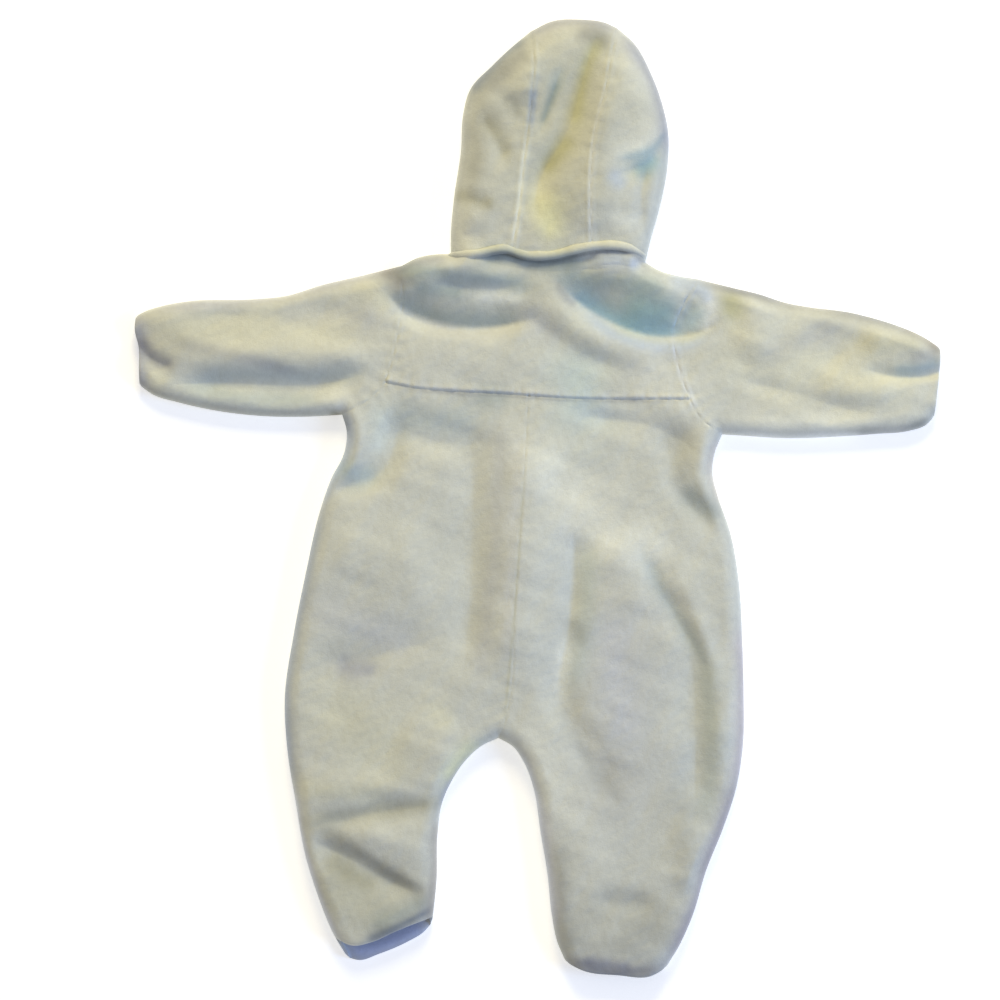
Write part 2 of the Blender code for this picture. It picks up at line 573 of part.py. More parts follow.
def neck_samples(line):
    """Sample the back neck so that its points match the hood's three panels."""
    seam_at = [np.argmin(np.abs(line[:, 0] - seam[0][0]))
               for seam in (HOOD_SEAM_LEFT, HOOD_SEAM_RIGHT)]
    left, middle, right = np.split(line, seam_at)
    left = np.vstack([left, middle[:1]])
    middle = np.vstack([middle, right[:1]])
    return chain(along(left, crowd(NECK_SIDE_CELLS, start=True)),
                 along(middle, crowd(NECK_MIDDLE_CELLS)),
                 along(right, crowd(NECK_SIDE_CELLS, end=True)))


back_neck = neck_samples(smooth(BACK_NECK, 1.0))
# The hood's side edges are counted upwards from where the band ends on them.
band_edge_left = int(np.argmax(hood_edge_left[:, 1] > BAND_TOP_LEFT_Y))
band_edge_right = int(np.argmax(hood_edge_right[:, 1] > BAND_TOP_RIGHT_Y))
hood_side_left = hood_edge_left[band_edge_left:]
hood_side_right = hood_edge_right[band_edge_right:]
band_top_left = along(smooth([hood_side_left[0], *BAND_TOP_LEFT, HOOD_SEAM_LEFT[0]]),
                      crowd(NECK_SIDE_CELLS, start=True))
band_top_middle = along(smooth(BAND_TOP_MIDDLE), crowd(NECK_MIDDLE_CELLS))
band_top_right = along(smooth([HOOD_SEAM_RIGHT[0], *BAND_TOP_RIGHT, hood_side_right[0]]),
                       crowd(NECK_SIDE_CELLS, end=True))
band_front_left = along(smooth([hood_side_left[0], *BAND_FRONT_LEFT]),
                        crowd(FRONT_NECK_CELLS, start=True))
band_front_right = along(smooth([hood_side_right[0], *BAND_FRONT_RIGHT]),
                         crowd(FRONT_NECK_CELLS, start=True))


# ---- Back --------------------------------------------------------------------------------------
def build_yoke(finish):
    top = chain(along(shoulder_left, crowd(SHOULDER_CELLS)), back_neck,
                along(shoulder_right[::-1], crowd(SHOULDER_CELLS)))
    bottom = chain(yoke_seam_left, yoke_seam_right)
    grid = patch(top, bottom, yoke_armhole_left, yoke_armhole_right)
    rows, columns = grid.shape[:2]
    side = np.ones((rows, columns))
    side[0, :SHOULDER_CELLS + 1] = 0
    side[0, -SHOULDER_CELLS - 1:] = 0
    neck = mask(columns, SHOULDER_CELLS, columns - SHOULDER_CELLS)
    seams = [("top", neck), ("bottom", mask(columns)), ("left", mask(rows)),
             ("right", mask(rows))]
    return sheet("back_yoke", grid, side, finish, seams, rim=GAP / 2)


def build_back_left(finish):
    outer_edge = cut_at_y(side_left, BACK_HEM_LEFT_Y[0])
    inner_edge = cut_at_y(inseam_left, BACK_HEM_LEFT_Y[1])
    top = chain(low_armhole_left, yoke_seam_left)
    right = chain(centre_seam, along(inner_edge, crowd(INSEAM_ROWS)))
    left = along(outer_edge, crowd(len(right) - 1))
    hem = smooth([outer_edge[-1], *BACK_HEM_LEFT, inner_edge[-1]])
    bottom = along(hem, crowd(len(top) - 1, start=True, end=True))
    grid = patch(top, bottom, left, right)
    rows, columns = grid.shape[:2]
    side = np.ones((rows, columns))
    side[:, 0] = 0
    side[CENTRE_SEAM_ROWS:, -1] = 0
    seams = [("top", mask(columns)), ("right", mask(rows, 0, CENTRE_SEAM_ROWS + 1))]
    return sheet("back_left", grid, side, finish, seams, rim=GAP / 2)


def build_back_right(finish):
    outer_edge = cut_at_y(side_right, BACK_HEM_RIGHT_Y[0])
    inner_edge = cut_at_y(inseam_right, BACK_HEM_RIGHT_Y[1])
    top = chain(yoke_seam_right, low_armhole_right)
    left = chain(centre_seam, along(inner_edge, crowd(INSEAM_ROWS)))
    right = along(outer_edge, crowd(len(left) - 1))
    hem = smooth([outer_edge[-1], *BACK_HEM_RIGHT, inner_edge[-1]])
    bottom = along(hem[::-1], crowd(len(top) - 1, start=True, end=True))
    grid = patch(top, bottom, left, right)
    rows, columns = grid.shape[:2]
    side = np.ones((rows, columns))
    side[:, -1] = 0
    side[CENTRE_SEAM_ROWS:, 0] = 0
    seams = [("top", mask(columns)), ("left", mask(rows, 0, CENTRE_SEAM_ROWS + 1))]
    return sheet("back_right", grid, side, finish, seams, rim=GAP / 2)


# ---- Fronts ------------------------------------------------------------------------------------
def build_front(name, finish, shoulder, neck, armhole, side_edge, inseam, hem, zip_side):
    """One front, from shoulder to hem.  zip_side is -1 left of the zip and +1 right."""
    zip_x = ZIP_X + zip_side * ZIP_HALF_OPENING
    zip_run = np.array([(zip_x, NECK_FRONT_Y), (zip_x, ZIP_BOTTOM)])
    turn = np.array([(zip_x, ZIP_BOTTOM), (ZIP_X, ZIP_SEAM_START)])
    seam_run = np.array([(ZIP_X, ZIP_SEAM_START), (ZIP_X - 3.0, -255.0), CROTCH])
    middle = chain(along(zip_run, crowd(ZIP_ROWS)), along(turn, crowd(ZIP_TURN_ROWS)),
                   along(seam_run, crowd(FRONT_SEAM_ROWS)),
                   along(inseam, crowd(FRONT_INSEAM_ROWS)))
    crotch_row = ZIP_ROWS + ZIP_TURN_ROWS + FRONT_SEAM_ROWS
    outer = chain(armhole, along(side_edge, crowd(len(middle) - len(armhole))))
    top = chain(along(shoulder, crowd(SHOULDER_CELLS)), neck)
    bottom = along(hem, crowd(len(top) - 1, start=True, end=True))
    grid = patch(top, bottom, outer, middle)
    rows, columns = grid.shape[:2]
    side = -np.ones((rows, columns))
    side[FRONT_ARMHOLE_CELLS:, 0] = 0
    side[crotch_row:, -1] = 0
    side[0, :SHOULDER_CELLS + 1] = 0
    seams = [("top", mask(columns, SHOULDER_CELLS)),
             ("left", mask(rows, 0, FRONT_ARMHOLE_CELLS + 1)),
             ("right", mask(rows, ZIP_ROWS + ZIP_TURN_ROWS, crotch_row + 1))]
    return sheet(name, grid, side, finish, seams, rim=-GAP / 2)


# ---- Sleeves -----------------------------------------------------------------------------------
def build_sleeve(name, finish, back_armhole, front_armhole, top_edge, under_edge, cuff):
    """A tube from the armhole to the cuff.  Its columns run over the back and under."""
    over = len(back_armhole) - 1
    under = len(front_armhole) - 1
    rows = crowd(SLEEVE_ROWS)
    upper = along(top_edge, rows)
    lower = along(under_edge, rows)
    cuff = smooth(cuff)
    back = patch(back_armhole, along(cuff, crowd(over, start=True, end=True)), upper, lower)
    front = patch(front_armhole, along(cuff, crowd(under, start=True, end=True)), upper, lower)
    grid = np.concatenate([back, front[:, -2:0:-1]], axis=1)
    columns = grid.shape[1]
    side = np.ones(grid.shape[:2])
    side[:, over + 1:] = -1
    side[:, [0, over]] = 0
    return sheet(name, grid, side, finish, [("top", mask(columns))], ring=True)


# ---- Neckband and hood -------------------------------------------------------------------------
def build_neckband(finish):
    """The band round the neck, from one side of the zip over the back to the other."""
    lower = chain(front_neck_left[::-1], back_neck, front_neck_right)
    upper = chain(band_front_left[::-1], band_top_left, band_top_middle, band_top_right,
                  band_front_right)
    v = np.linspace(0.0, 1.0, BAND_ROWS + 1)[:, None, None]
    grid = (1 - v) * upper[None] + v * lower[None]
    fold_columns = [FRONT_NECK_CELLS, FRONT_NECK_CELLS + len(back_neck) - 1]
    band_edges = (hood_edge_left[:band_edge_left + 1], hood_edge_right[:band_edge_right + 1])
    for column, edge in zip(fold_columns, band_edges):
        grid[:, column] = along(edge[::-1], v[:, 0, 0])
    rows, columns = grid.shape[:2]
    side = -np.ones((rows, columns))
    side[:, fold_columns[0]:fold_columns[1]] = 1
    side[:, fold_columns] = 0
    seams = [("top", mask(columns)), ("bottom", mask(columns))]
    return sheet("neckband", grid, side, finish, seams)


def build_hood_side(name, finish, seam, edge, under_seam, face, forehead, top_run, front_run):
    """A hood side.  Each row runs from the top seam out to the edge and back under."""
    over_cells = len(top_run) - 1
    cells = over_cells + len(front_run) - 1
    rows = HOOD_ROWS + HOOD_UNDER_ROWS
    rise = crowd(HOOD_ROWS, start=True, end=True)
    seam_points = chain(along(smooth(seam), rise),
                        along(smooth(under_seam), crowd(HOOD_UNDER_ROWS)))
    edge_points = along(edge, rise)
    face_points = along(smooth(face), crowd(rows))
    width = np.linalg.norm(seam_points[:HOOD_ROWS] - edge_points[:HOOD_ROWS], axis=1)
    # The cells above lose one cell a row at most, so that the side edge stays unbroken.
    over_at = np.zeros(rows + 1, int)
    for i in range(HOOD_ROWS - 1, -1, -1):
        wanted = round(over_cells * min(1.0, 1.25 * width[i] / width[0]))
        over_at[i] = min(over_at[i + 1] + 1, max(1, wanted))
    grid = np.zeros((rows + 1, cells + 1, 2))
    side = -np.ones((rows + 1, cells + 1))
    for i in range(rows + 1):
        over = over_at[i]
        turn = edge_points[i] if i < HOOD_ROWS else seam_points[i]
        settle = max(0.0, 1 - i / 5)
        if over:
            u = crowd(over, end=True)[:, None]
            grid[i, :over + 1] = seam_points[i] + u * (turn - seam_points[i])
            if over == over_cells:
                straight = top_run[0] + u * (top_run[-1] - top_run[0])
                grid[i, :over + 1] += settle * (top_run - straight)
        u = crowd(cells - over, start=over > 0 or i == HOOD_ROWS)[:, None]
        grid[i, over:] = turn + u * (face_points[i] - turn)
        if over == over_cells:
            straight = front_run[0] + u * (front_run[-1] - front_run[0])
            grid[i, over:] += settle * (front_run - straight)
        side[i, :over] = 1
        if i <= HOOD_ROWS:
            side[i, over] = 0
    forehead_run = along(smooth(forehead), crowd(cells))
    for i in range(rows - 2, rows + 1):
        blend = (i - rows + 3) / 3
        grid[i, 1:-1] += blend * blend * (forehead_run - along(
            np.array([forehead_run[0], forehead_run[-1]]), crowd(cells)))[1:-1]
    seams = [("top", mask(cells + 1)), ("left", mask(rows + 1))]
    return sheet(name, grid, side, finish, seams)


def build_hood_centre(finish):
    """The strip from the neck over the crown and under to the forehead edge."""
    rise = crowd(HOOD_ROWS, start=True, end=True)
    under = crowd(HOOD_UNDER_ROWS)
    crown_run = along(hood_edge_top, crowd(NECK_MIDDLE_CELLS))
    over = patch(band_top_middle, crown_run, along(smooth(HOOD_SEAM_LEFT), rise),
                 along(smooth(HOOD_SEAM_RIGHT), rise))
    below = patch(crown_run, along(smooth(FOREHEAD), crowd(NECK_MIDDLE_CELLS)),
                  along(smooth(UNDER_SEAM_LEFT), under), along(smooth(UNDER_SEAM_RIGHT), under))
    grid = np.concatenate([over, below[1:]])
    rows, columns = grid.shape[:2]
    side = np.ones((rows, columns))
    side[HOOD_ROWS] = 0
    side[HOOD_ROWS + 1:] = -1
    seams = [("top", mask(columns)), ("left", mask(rows)), ("right", mask(rows))]
    return sheet("hood_centre", grid, side, finish, seams)


def surface_height(xy):
    """Height of the back layer's outer face at loose points."""
    gap = away_from_edge(xy)[0]
    t = np.clip(gap / (BODY_ROUND + (HOOD_ROUND - BODY_ROUND) * hood_share(xy)), 0.0, 1.0)
    return RIM + (crown_height(xy, gap) - RIM) * np.sqrt(1 - (1 - t) ** 2)


def build_hood_hem(finish):
    """The rolled hem: a flattened tube that follows the pieces under it."""
    line = along(smooth(ROLL_LINE), crowd(ROLL_CELLS))
    run = np.gradient(line, axis=0)
    across = np.stack([-run[:, 1], run[:, 0]], axis=1)
    across /= np.linalg.norm(across, axis=1)[:, None]
    angle = np.arange(ROLL_SIDES) * 2 * np.pi / ROLL_SIDES
    points = []
    for turn in angle:
        xy = line + across * (ROLL_HALF_WIDTH * np.cos(turn))
        base = surface_height(xy) + ROLL_CLEAR
        points.append(np.column_stack([xy, base + ROLL_HEIGHT * max(0.0, np.sin(turn))]))
    points = np.stack(points, axis=1)
    rows = len(line)
    faces = []
    for i in range(rows - 1):
        for j in range(ROLL_SIDES):
            k = (j + 1) % ROLL_SIDES
            low, high = i * ROLL_SIDES, (i + 1) * ROLL_SIDES
            faces.append((low + j, low + k, high + k, high + j))
    faces.append(tuple(range(ROLL_SIDES))[::-1])
    faces.append(tuple((rows - 1) * ROLL_SIDES + j for j in range(ROLL_SIDES)))
    return add_object("hood_hem", points.reshape(-1, 3), faces, finish)


# ---- Zip ---------------------------------------------------------------------------------------
def slab(name, outline, low, high, finish, drop_axis=2):
    """An outline pushed out between two levels of the axis that it lies square to."""
    points = []
    for level in (low, high):
        for corner in outline:
            point = list(corner)
            point.insert(drop_axis, level)
            points.append(point)
    count = len(outline)
    faces = [tuple(range(count))[::-1], tuple(range(count, 2 * count))]
    for i in range(count):
        k = (i + 1) % count
        faces.append((i, k, count + k, count + i))
    return add_object(name, points, faces, finish)


def box(name, x, y, z, finish):
    outline = [(x[0], y[0]), (x[1], y[0]), (x[1], y[1]), (x[0], y[1])]
    return slab(name, outline, z[0], z[1], finish)


def rod(name, x, centre, radius, finish, sides=16):
    """A rod along X.  centre is its height-line's (y, z)."""
    angle = np.arange(sides) * 2 * np.pi / sides
    outline = [(centre[0] + radius * np.cos(a), centre[1] + radius * np.sin(a)) for a in angle]
    return slab(name, outline, x[0], x[1], finish, drop_axis=0)


def combine(base, operation, others):
    """Join hidden shapes to a part, or cut them from it."""
    for other in others:
        step = base.modifiers.new(other.name, "BOOLEAN")
        step.operation = operation
        step.solver = "EXACT"
        step.object = other
        other.hide_render = True
        other.hide_set(True)


def build_zip(tape_finish, metal):
    """Tapes, closed teeth, slider and pull tab, seen from inside the garment upwards."""
    for name, hand in (("zip_tape_left", -1), ("zip_tape_right", 1)):
        edges = sorted([ZIP_X + hand * TAPE_INNER, ZIP_X + hand * TAPE_OUTER])
        box(name, edges, (TAPE_BOTTOM, TAPE_TOP), TAPE_Z, tape_finish)
    middle = (ZIP_X - CHAIN_HALF_WIDTH, ZIP_X + CHAIN_HALF_WIDTH)
    box("zip_chain", middle, (CHAIN_BOTTOM, CHAIN_TOP), CHAIN_Z, tape_finish)

    width = (ZIP_X - SLIDER_HALF_WIDTH, ZIP_X + SLIDER_HALF_WIDTH)
    slider = box("zip_slider", width, SLIDER_Y, SLIDER_OUTER_Z, metal)
    inner = box("slider_inner_plate", width, SLIDER_Y, SLIDER_INNER_Z, metal)
    half, low, high = SLIDER_POST
    sunk = 0.2
    post = box("slider_post", (ZIP_X - half, ZIP_X + half), (low, high),
               (SLIDER_OUTER_Z[1] - sunk, SLIDER_INNER_Z[0] + sunk), metal)
    lugs = []
    for name, hand in (("slider_lug_left", -1), ("slider_lug_right", 1)):
        edges = sorted([ZIP_X + hand * LUG_X[0], ZIP_X + hand * LUG_X[1]])
        lugs.append(box(name, edges, (PIVOT_Y - LUG_HALF_LENGTH, PIVOT_Y + LUG_HALF_LENGTH),
                        (LUG_BOTTOM, SLIDER_OUTER_Z[0] + sunk), metal))
    pin_reach = LUG_X[1] + 0.4
    hole = rod("slider_hole", (ZIP_X - pin_reach, ZIP_X + pin_reach), (PIVOT_Y, PIVOT_Z),
               PIVOT_HOLE, metal)
    combine(slider, "UNION", [post, inner, *lugs])
    combine(slider, "DIFFERENCE", [hole])

    outline = []
    for along_tab, half_width in TAB_OUTLINE:
        outline.append((ZIP_X + half_width, PIVOT_Y - along_tab))
    for along_tab, half_width in TAB_OUTLINE[::-1]:
        outline.append((ZIP_X - half_width, PIVOT_Y - along_tab))
    tab = slab("zip_pull_tab", outline, TAB_Z[0], TAB_Z[1], metal)
    pin = rod("tab_pin", (ZIP_X - LUG_X[1], ZIP_X + LUG_X[1]), (PIVOT_Y, PIVOT_Z),
              PIN_RADIUS, metal)
    combine(tab, "UNION", [pin])
    pivot = ((ZIP_X - ORIGIN_X) * MM, (PIVOT_Y - ORIGIN_Y) * MM, PIVOT_Z * MM)
    for thing in (tab, pin):
        thing.data.transform(Matrix.Translation([-value for value in pivot]))
        thing.location = pivot


def main():
    for thing in list(bpy.data.objects):
        bpy.data.objects.remove(thing, do_unlink=True)
    fleece = material("cream_fleece", (0.72, 0.71, 0.60), 0.95)
    build_yoke(fleece)
    build_back_left(fleece)
    build_back_right(fleece)
    build_front("front_left", fleece, shoulder_left, front_neck_left, front_armhole_left,
                side_left, inseam_left, smooth(HEM_LEFT), -1)
    build_front("front_right", fleece, shoulder_right, front_neck_right,
                front_armhole_right, side_right, inseam_right, smooth(HEM_RIGHT), 1)
    build_sleeve("sleeve_left", fleece, chain(yoke_armhole_left, low_armhole_left[::-1]),
                 front_armhole_left, sleeve_top_left, sleeve_under_left, CUFF_LEFT)
    build_sleeve("sleeve_right", fleece, chain(yoke_armhole_right, low_armhole_right),
                 front_armhole_right, sleeve_top_right, sleeve_under_right, CUFF_RIGHT)
    build_neckband(fleece)
    build_hood_side("hood_left", fleece, HOOD_SEAM_LEFT, hood_side_left, UNDER_SEAM_LEFT,
                    FACE_LEFT, [FOREHEAD_LEFT, (-21, 227), FACE_LEFT[-1]],
                    band_top_left[::-1], band_front_left)
    build_hood_side("hood_right", fleece, HOOD_SEAM_RIGHT, hood_side_right, UNDER_SEAM_RIGHT,
                    FACE_RIGHT, [FOREHEAD_RIGHT, (49.5, 231), FACE_RIGHT[-1]],
                    band_top_right, band_front_right)
    build_hood_centre(fleece)
    build_hood_hem(fleece)
    build_zip(material("zip_tape", (0.62, 0.62, 0.56), 0.8),
              material("zip_metal", (0.66, 0.66, 0.64), 0.35, metallic=1.0))


main()
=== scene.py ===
"""A baby's hooded fleece snowsuit laid on its front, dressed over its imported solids.

The tables are in millimetres from the top of the centre-back seam, +X to the wearer's
right and +Y to the hood.  Each piece is cut from its own edges and lifted by one height
rule, so that pieces that are sewn together share the heights along their seam.
"""
import math
from types import SimpleNamespace

import bpy
import numpy as np
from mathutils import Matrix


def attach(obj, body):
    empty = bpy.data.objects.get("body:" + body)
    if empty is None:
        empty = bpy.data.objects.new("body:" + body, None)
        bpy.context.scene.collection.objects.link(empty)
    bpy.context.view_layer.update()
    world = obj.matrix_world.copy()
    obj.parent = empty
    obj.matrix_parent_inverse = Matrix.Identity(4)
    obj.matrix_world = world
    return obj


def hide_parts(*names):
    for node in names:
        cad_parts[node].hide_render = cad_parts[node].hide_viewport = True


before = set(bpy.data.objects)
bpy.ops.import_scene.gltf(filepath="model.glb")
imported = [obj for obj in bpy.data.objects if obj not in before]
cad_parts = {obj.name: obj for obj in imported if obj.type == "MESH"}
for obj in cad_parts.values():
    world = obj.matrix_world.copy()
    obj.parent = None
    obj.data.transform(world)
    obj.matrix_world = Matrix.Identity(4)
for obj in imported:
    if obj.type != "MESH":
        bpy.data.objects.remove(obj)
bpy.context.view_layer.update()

# ---- The back: yoke and two back panels ----------------------------------------------------
# Heavy cream fleece.  The yoke is one piece and laps over the two back panels, which are
# seamed down the middle.  All the side edges are folds where the back meets the front.
MM = 0.001
MIDDLE_X = 5.0
MIDDLE_Y = -75.7
WALL = 2.3
SEAM_GAP = 0.03
SIDE_EDGE_Z = 4.5
BODY_CROWN = 17.0
SLEEVE_CROWN = 15.0
HOOD_CROWN = 24.0
NECKBAND_SINK = 0.8
HEM_DROP = 2.5
HEM_REACH = 16.0
BODY_ROUND = 14.0
HOOD_ROUND = 26.0
FRONT_ROUND = 5.0
LOWEST = 7.4
LIMIT_SOFTNESS = 1.2
EDGE_POWER = 1.5

NECK_LEFT, NECK_RIGHT = (-69, 112), (87, 115)
ARM_LEFT, ARM_RIGHT = (-108, 100), (130, 104)
UNDERARM_LEFT, UNDERARM_RIGHT = (-148, -22), (157, -19)
CROTCH = (-7, -273)
CROWN_LEFT, CROWN_RIGHT = (-16, 294), (53, 301)
YOKE_LEFT, YOKE_RIGHT, CENTRE_BACK = (-114, 5.5), (128.5, 7), (0, 2.2)

SHOULDER_LEFT = [ARM_LEFT, (-95, 107.5), (-81, 111), NECK_LEFT]
SHOULDER_RIGHT = [ARM_RIGHT, (112, 106), (99, 109), NECK_RIGHT]
SLEEVE_TOP_LEFT = [ARM_LEFT, (-140, 90), (-170, 81), (-200, 70), (-225, 66), (-275, 61.5),
                   (-298, 56), (-311, 51), (-318, 46.5)]
SLEEVE_TOP_RIGHT = [ARM_RIGHT, (160, 98.5), (180, 95), (201, 89.5), (221, 87), (252, 85),
                    (272, 81.5), (294, 76), (314, 68.5), (327, 61)]
SLEEVE_UNDER_LEFT = [UNDERARM_LEFT, (-173, -25), (-212, -27), (-249, -25), (-281, -20),
                     (-300, -15.5), (-311.5, -8.5)]
SLEEVE_UNDER_RIGHT = [UNDERARM_RIGHT, (175, -19), (205, -19), (250, -15), (280, -11),
                      (308, -6.5), (319, -2), (325.5, 5)]
CUFF_LEFT = [(-318, 46.5), (-317.5, 34), (-314, 22), (-312.5, 6), (-311.5, -8.5)]
CUFF_RIGHT = [(327, 61), (327.5, 46), (326.5, 26), (325.5, 5)]
SIDE_LEFT = [UNDERARM_LEFT, (-143.5, -35), (-145, -54), (-153, -72), (-161, -100),
             (-169, -148), (-176, -200), (-180, -250), (-175, -295), (-166, -335),
             (-156, -376), (-143, -410), (-130, -437), (-117, -456)]
SIDE_RIGHT = [UNDERARM_RIGHT, (152, -34), (151, -50), (156, -67), (168, -96), (178, -138),
              (183, -180), (187, -225), (189, -265), (186, -300), (177, -335),
              (166, -368), (157, -406), (148, -430), (138, -449)]
INSEAM_LEFT = [CROTCH, (-20, -280), (-31, -291), (-42, -309), (-49, -328), (-51, -352),
               (-49.5, -390), (-51, -424)]
INSEAM_RIGHT = [CROTCH, (5, -279), (15, -292), (24, -313), (31, -345), (39, -380),
                (44, -410), (50, -433), (58, -449)]
HOOD_EDGE_LEFT = [NECK_LEFT, (-70, 130), (-69, 160), (-66, 195), (-66, 225), (-62, 244),
                  (-45, 265), (-31, 280), CROWN_LEFT]
HOOD_EDGE_TOP = [CROWN_LEFT, (0, 303), (25, 306), (42, 305), CROWN_RIGHT]
HOOD_EDGE_RIGHT = [NECK_RIGHT, (90, 132), (96, 160), (100, 192), (99, 220), (93, 242),
                   (82, 267), (68, 289), CROWN_RIGHT]
HEM_LEFT = [SIDE_LEFT[-1], (-108, -458), (-92, -452), (-70, -441), (-57, -432),
            INSEAM_LEFT[-1]]
HEM_RIGHT = [SIDE_RIGHT[-1], (125, -455), (100, -455), (75, -454), INSEAM_RIGHT[-1]]
BACK_HEM_LEFT_Y, BACK_HEM_RIGHT_Y = (-442, -419.5), (-448.6, -448.6)
BACK_HEM_LEFT = [(-115, -445.5), (-98, -441.5), (-80, -432), (-64, -424.5)]
BACK_HEM_RIGHT = [(125, -455.5), (100, -456), (75, -454.8)]
ARMHOLE_LEFT = [ARM_LEFT, (-105, 72), (-107, 46), YOKE_LEFT]
ARMHOLE_RIGHT = [ARM_RIGHT, (119, 82), (113, 60), (118, 34), YOKE_RIGHT]
ARMHOLE_LEFT_LOW = [UNDERARM_LEFT, (-128, -10), YOKE_LEFT]
ARMHOLE_RIGHT_LOW = [YOKE_RIGHT, (139, -8), UNDERARM_RIGHT]
YOKE_SEAM_LEFT = [YOKE_LEFT, (-92, 2.6), (-62, 1.7), (-30, 2.2), CENTRE_BACK]
YOKE_SEAM_RIGHT = [CENTRE_BACK, (30, 2), (58, 2.8), (96, 5), YOKE_RIGHT]
CENTRE_SEAM = [CENTRE_BACK, (0.5, -85), (-0.5, -170), (0, -240), (-3, -260), CROTCH]
BACK_NECK = [NECK_LEFT, (-39, 107), (-4, 103), (28, 104), (50, 109), (70, 113), NECK_RIGHT]
HOOD_SEAM_LEFT = [(-20, 118), (-17, 150), (-15.5, 185), (-13.5, 215), (-12, 244),
                  (-12, 268), CROWN_LEFT]
HOOD_SEAM_RIGHT = [(43, 125), (39.5, 160), (38.5, 190), (40.5, 220), (46, 248),
                   (49, 275), CROWN_RIGHT]

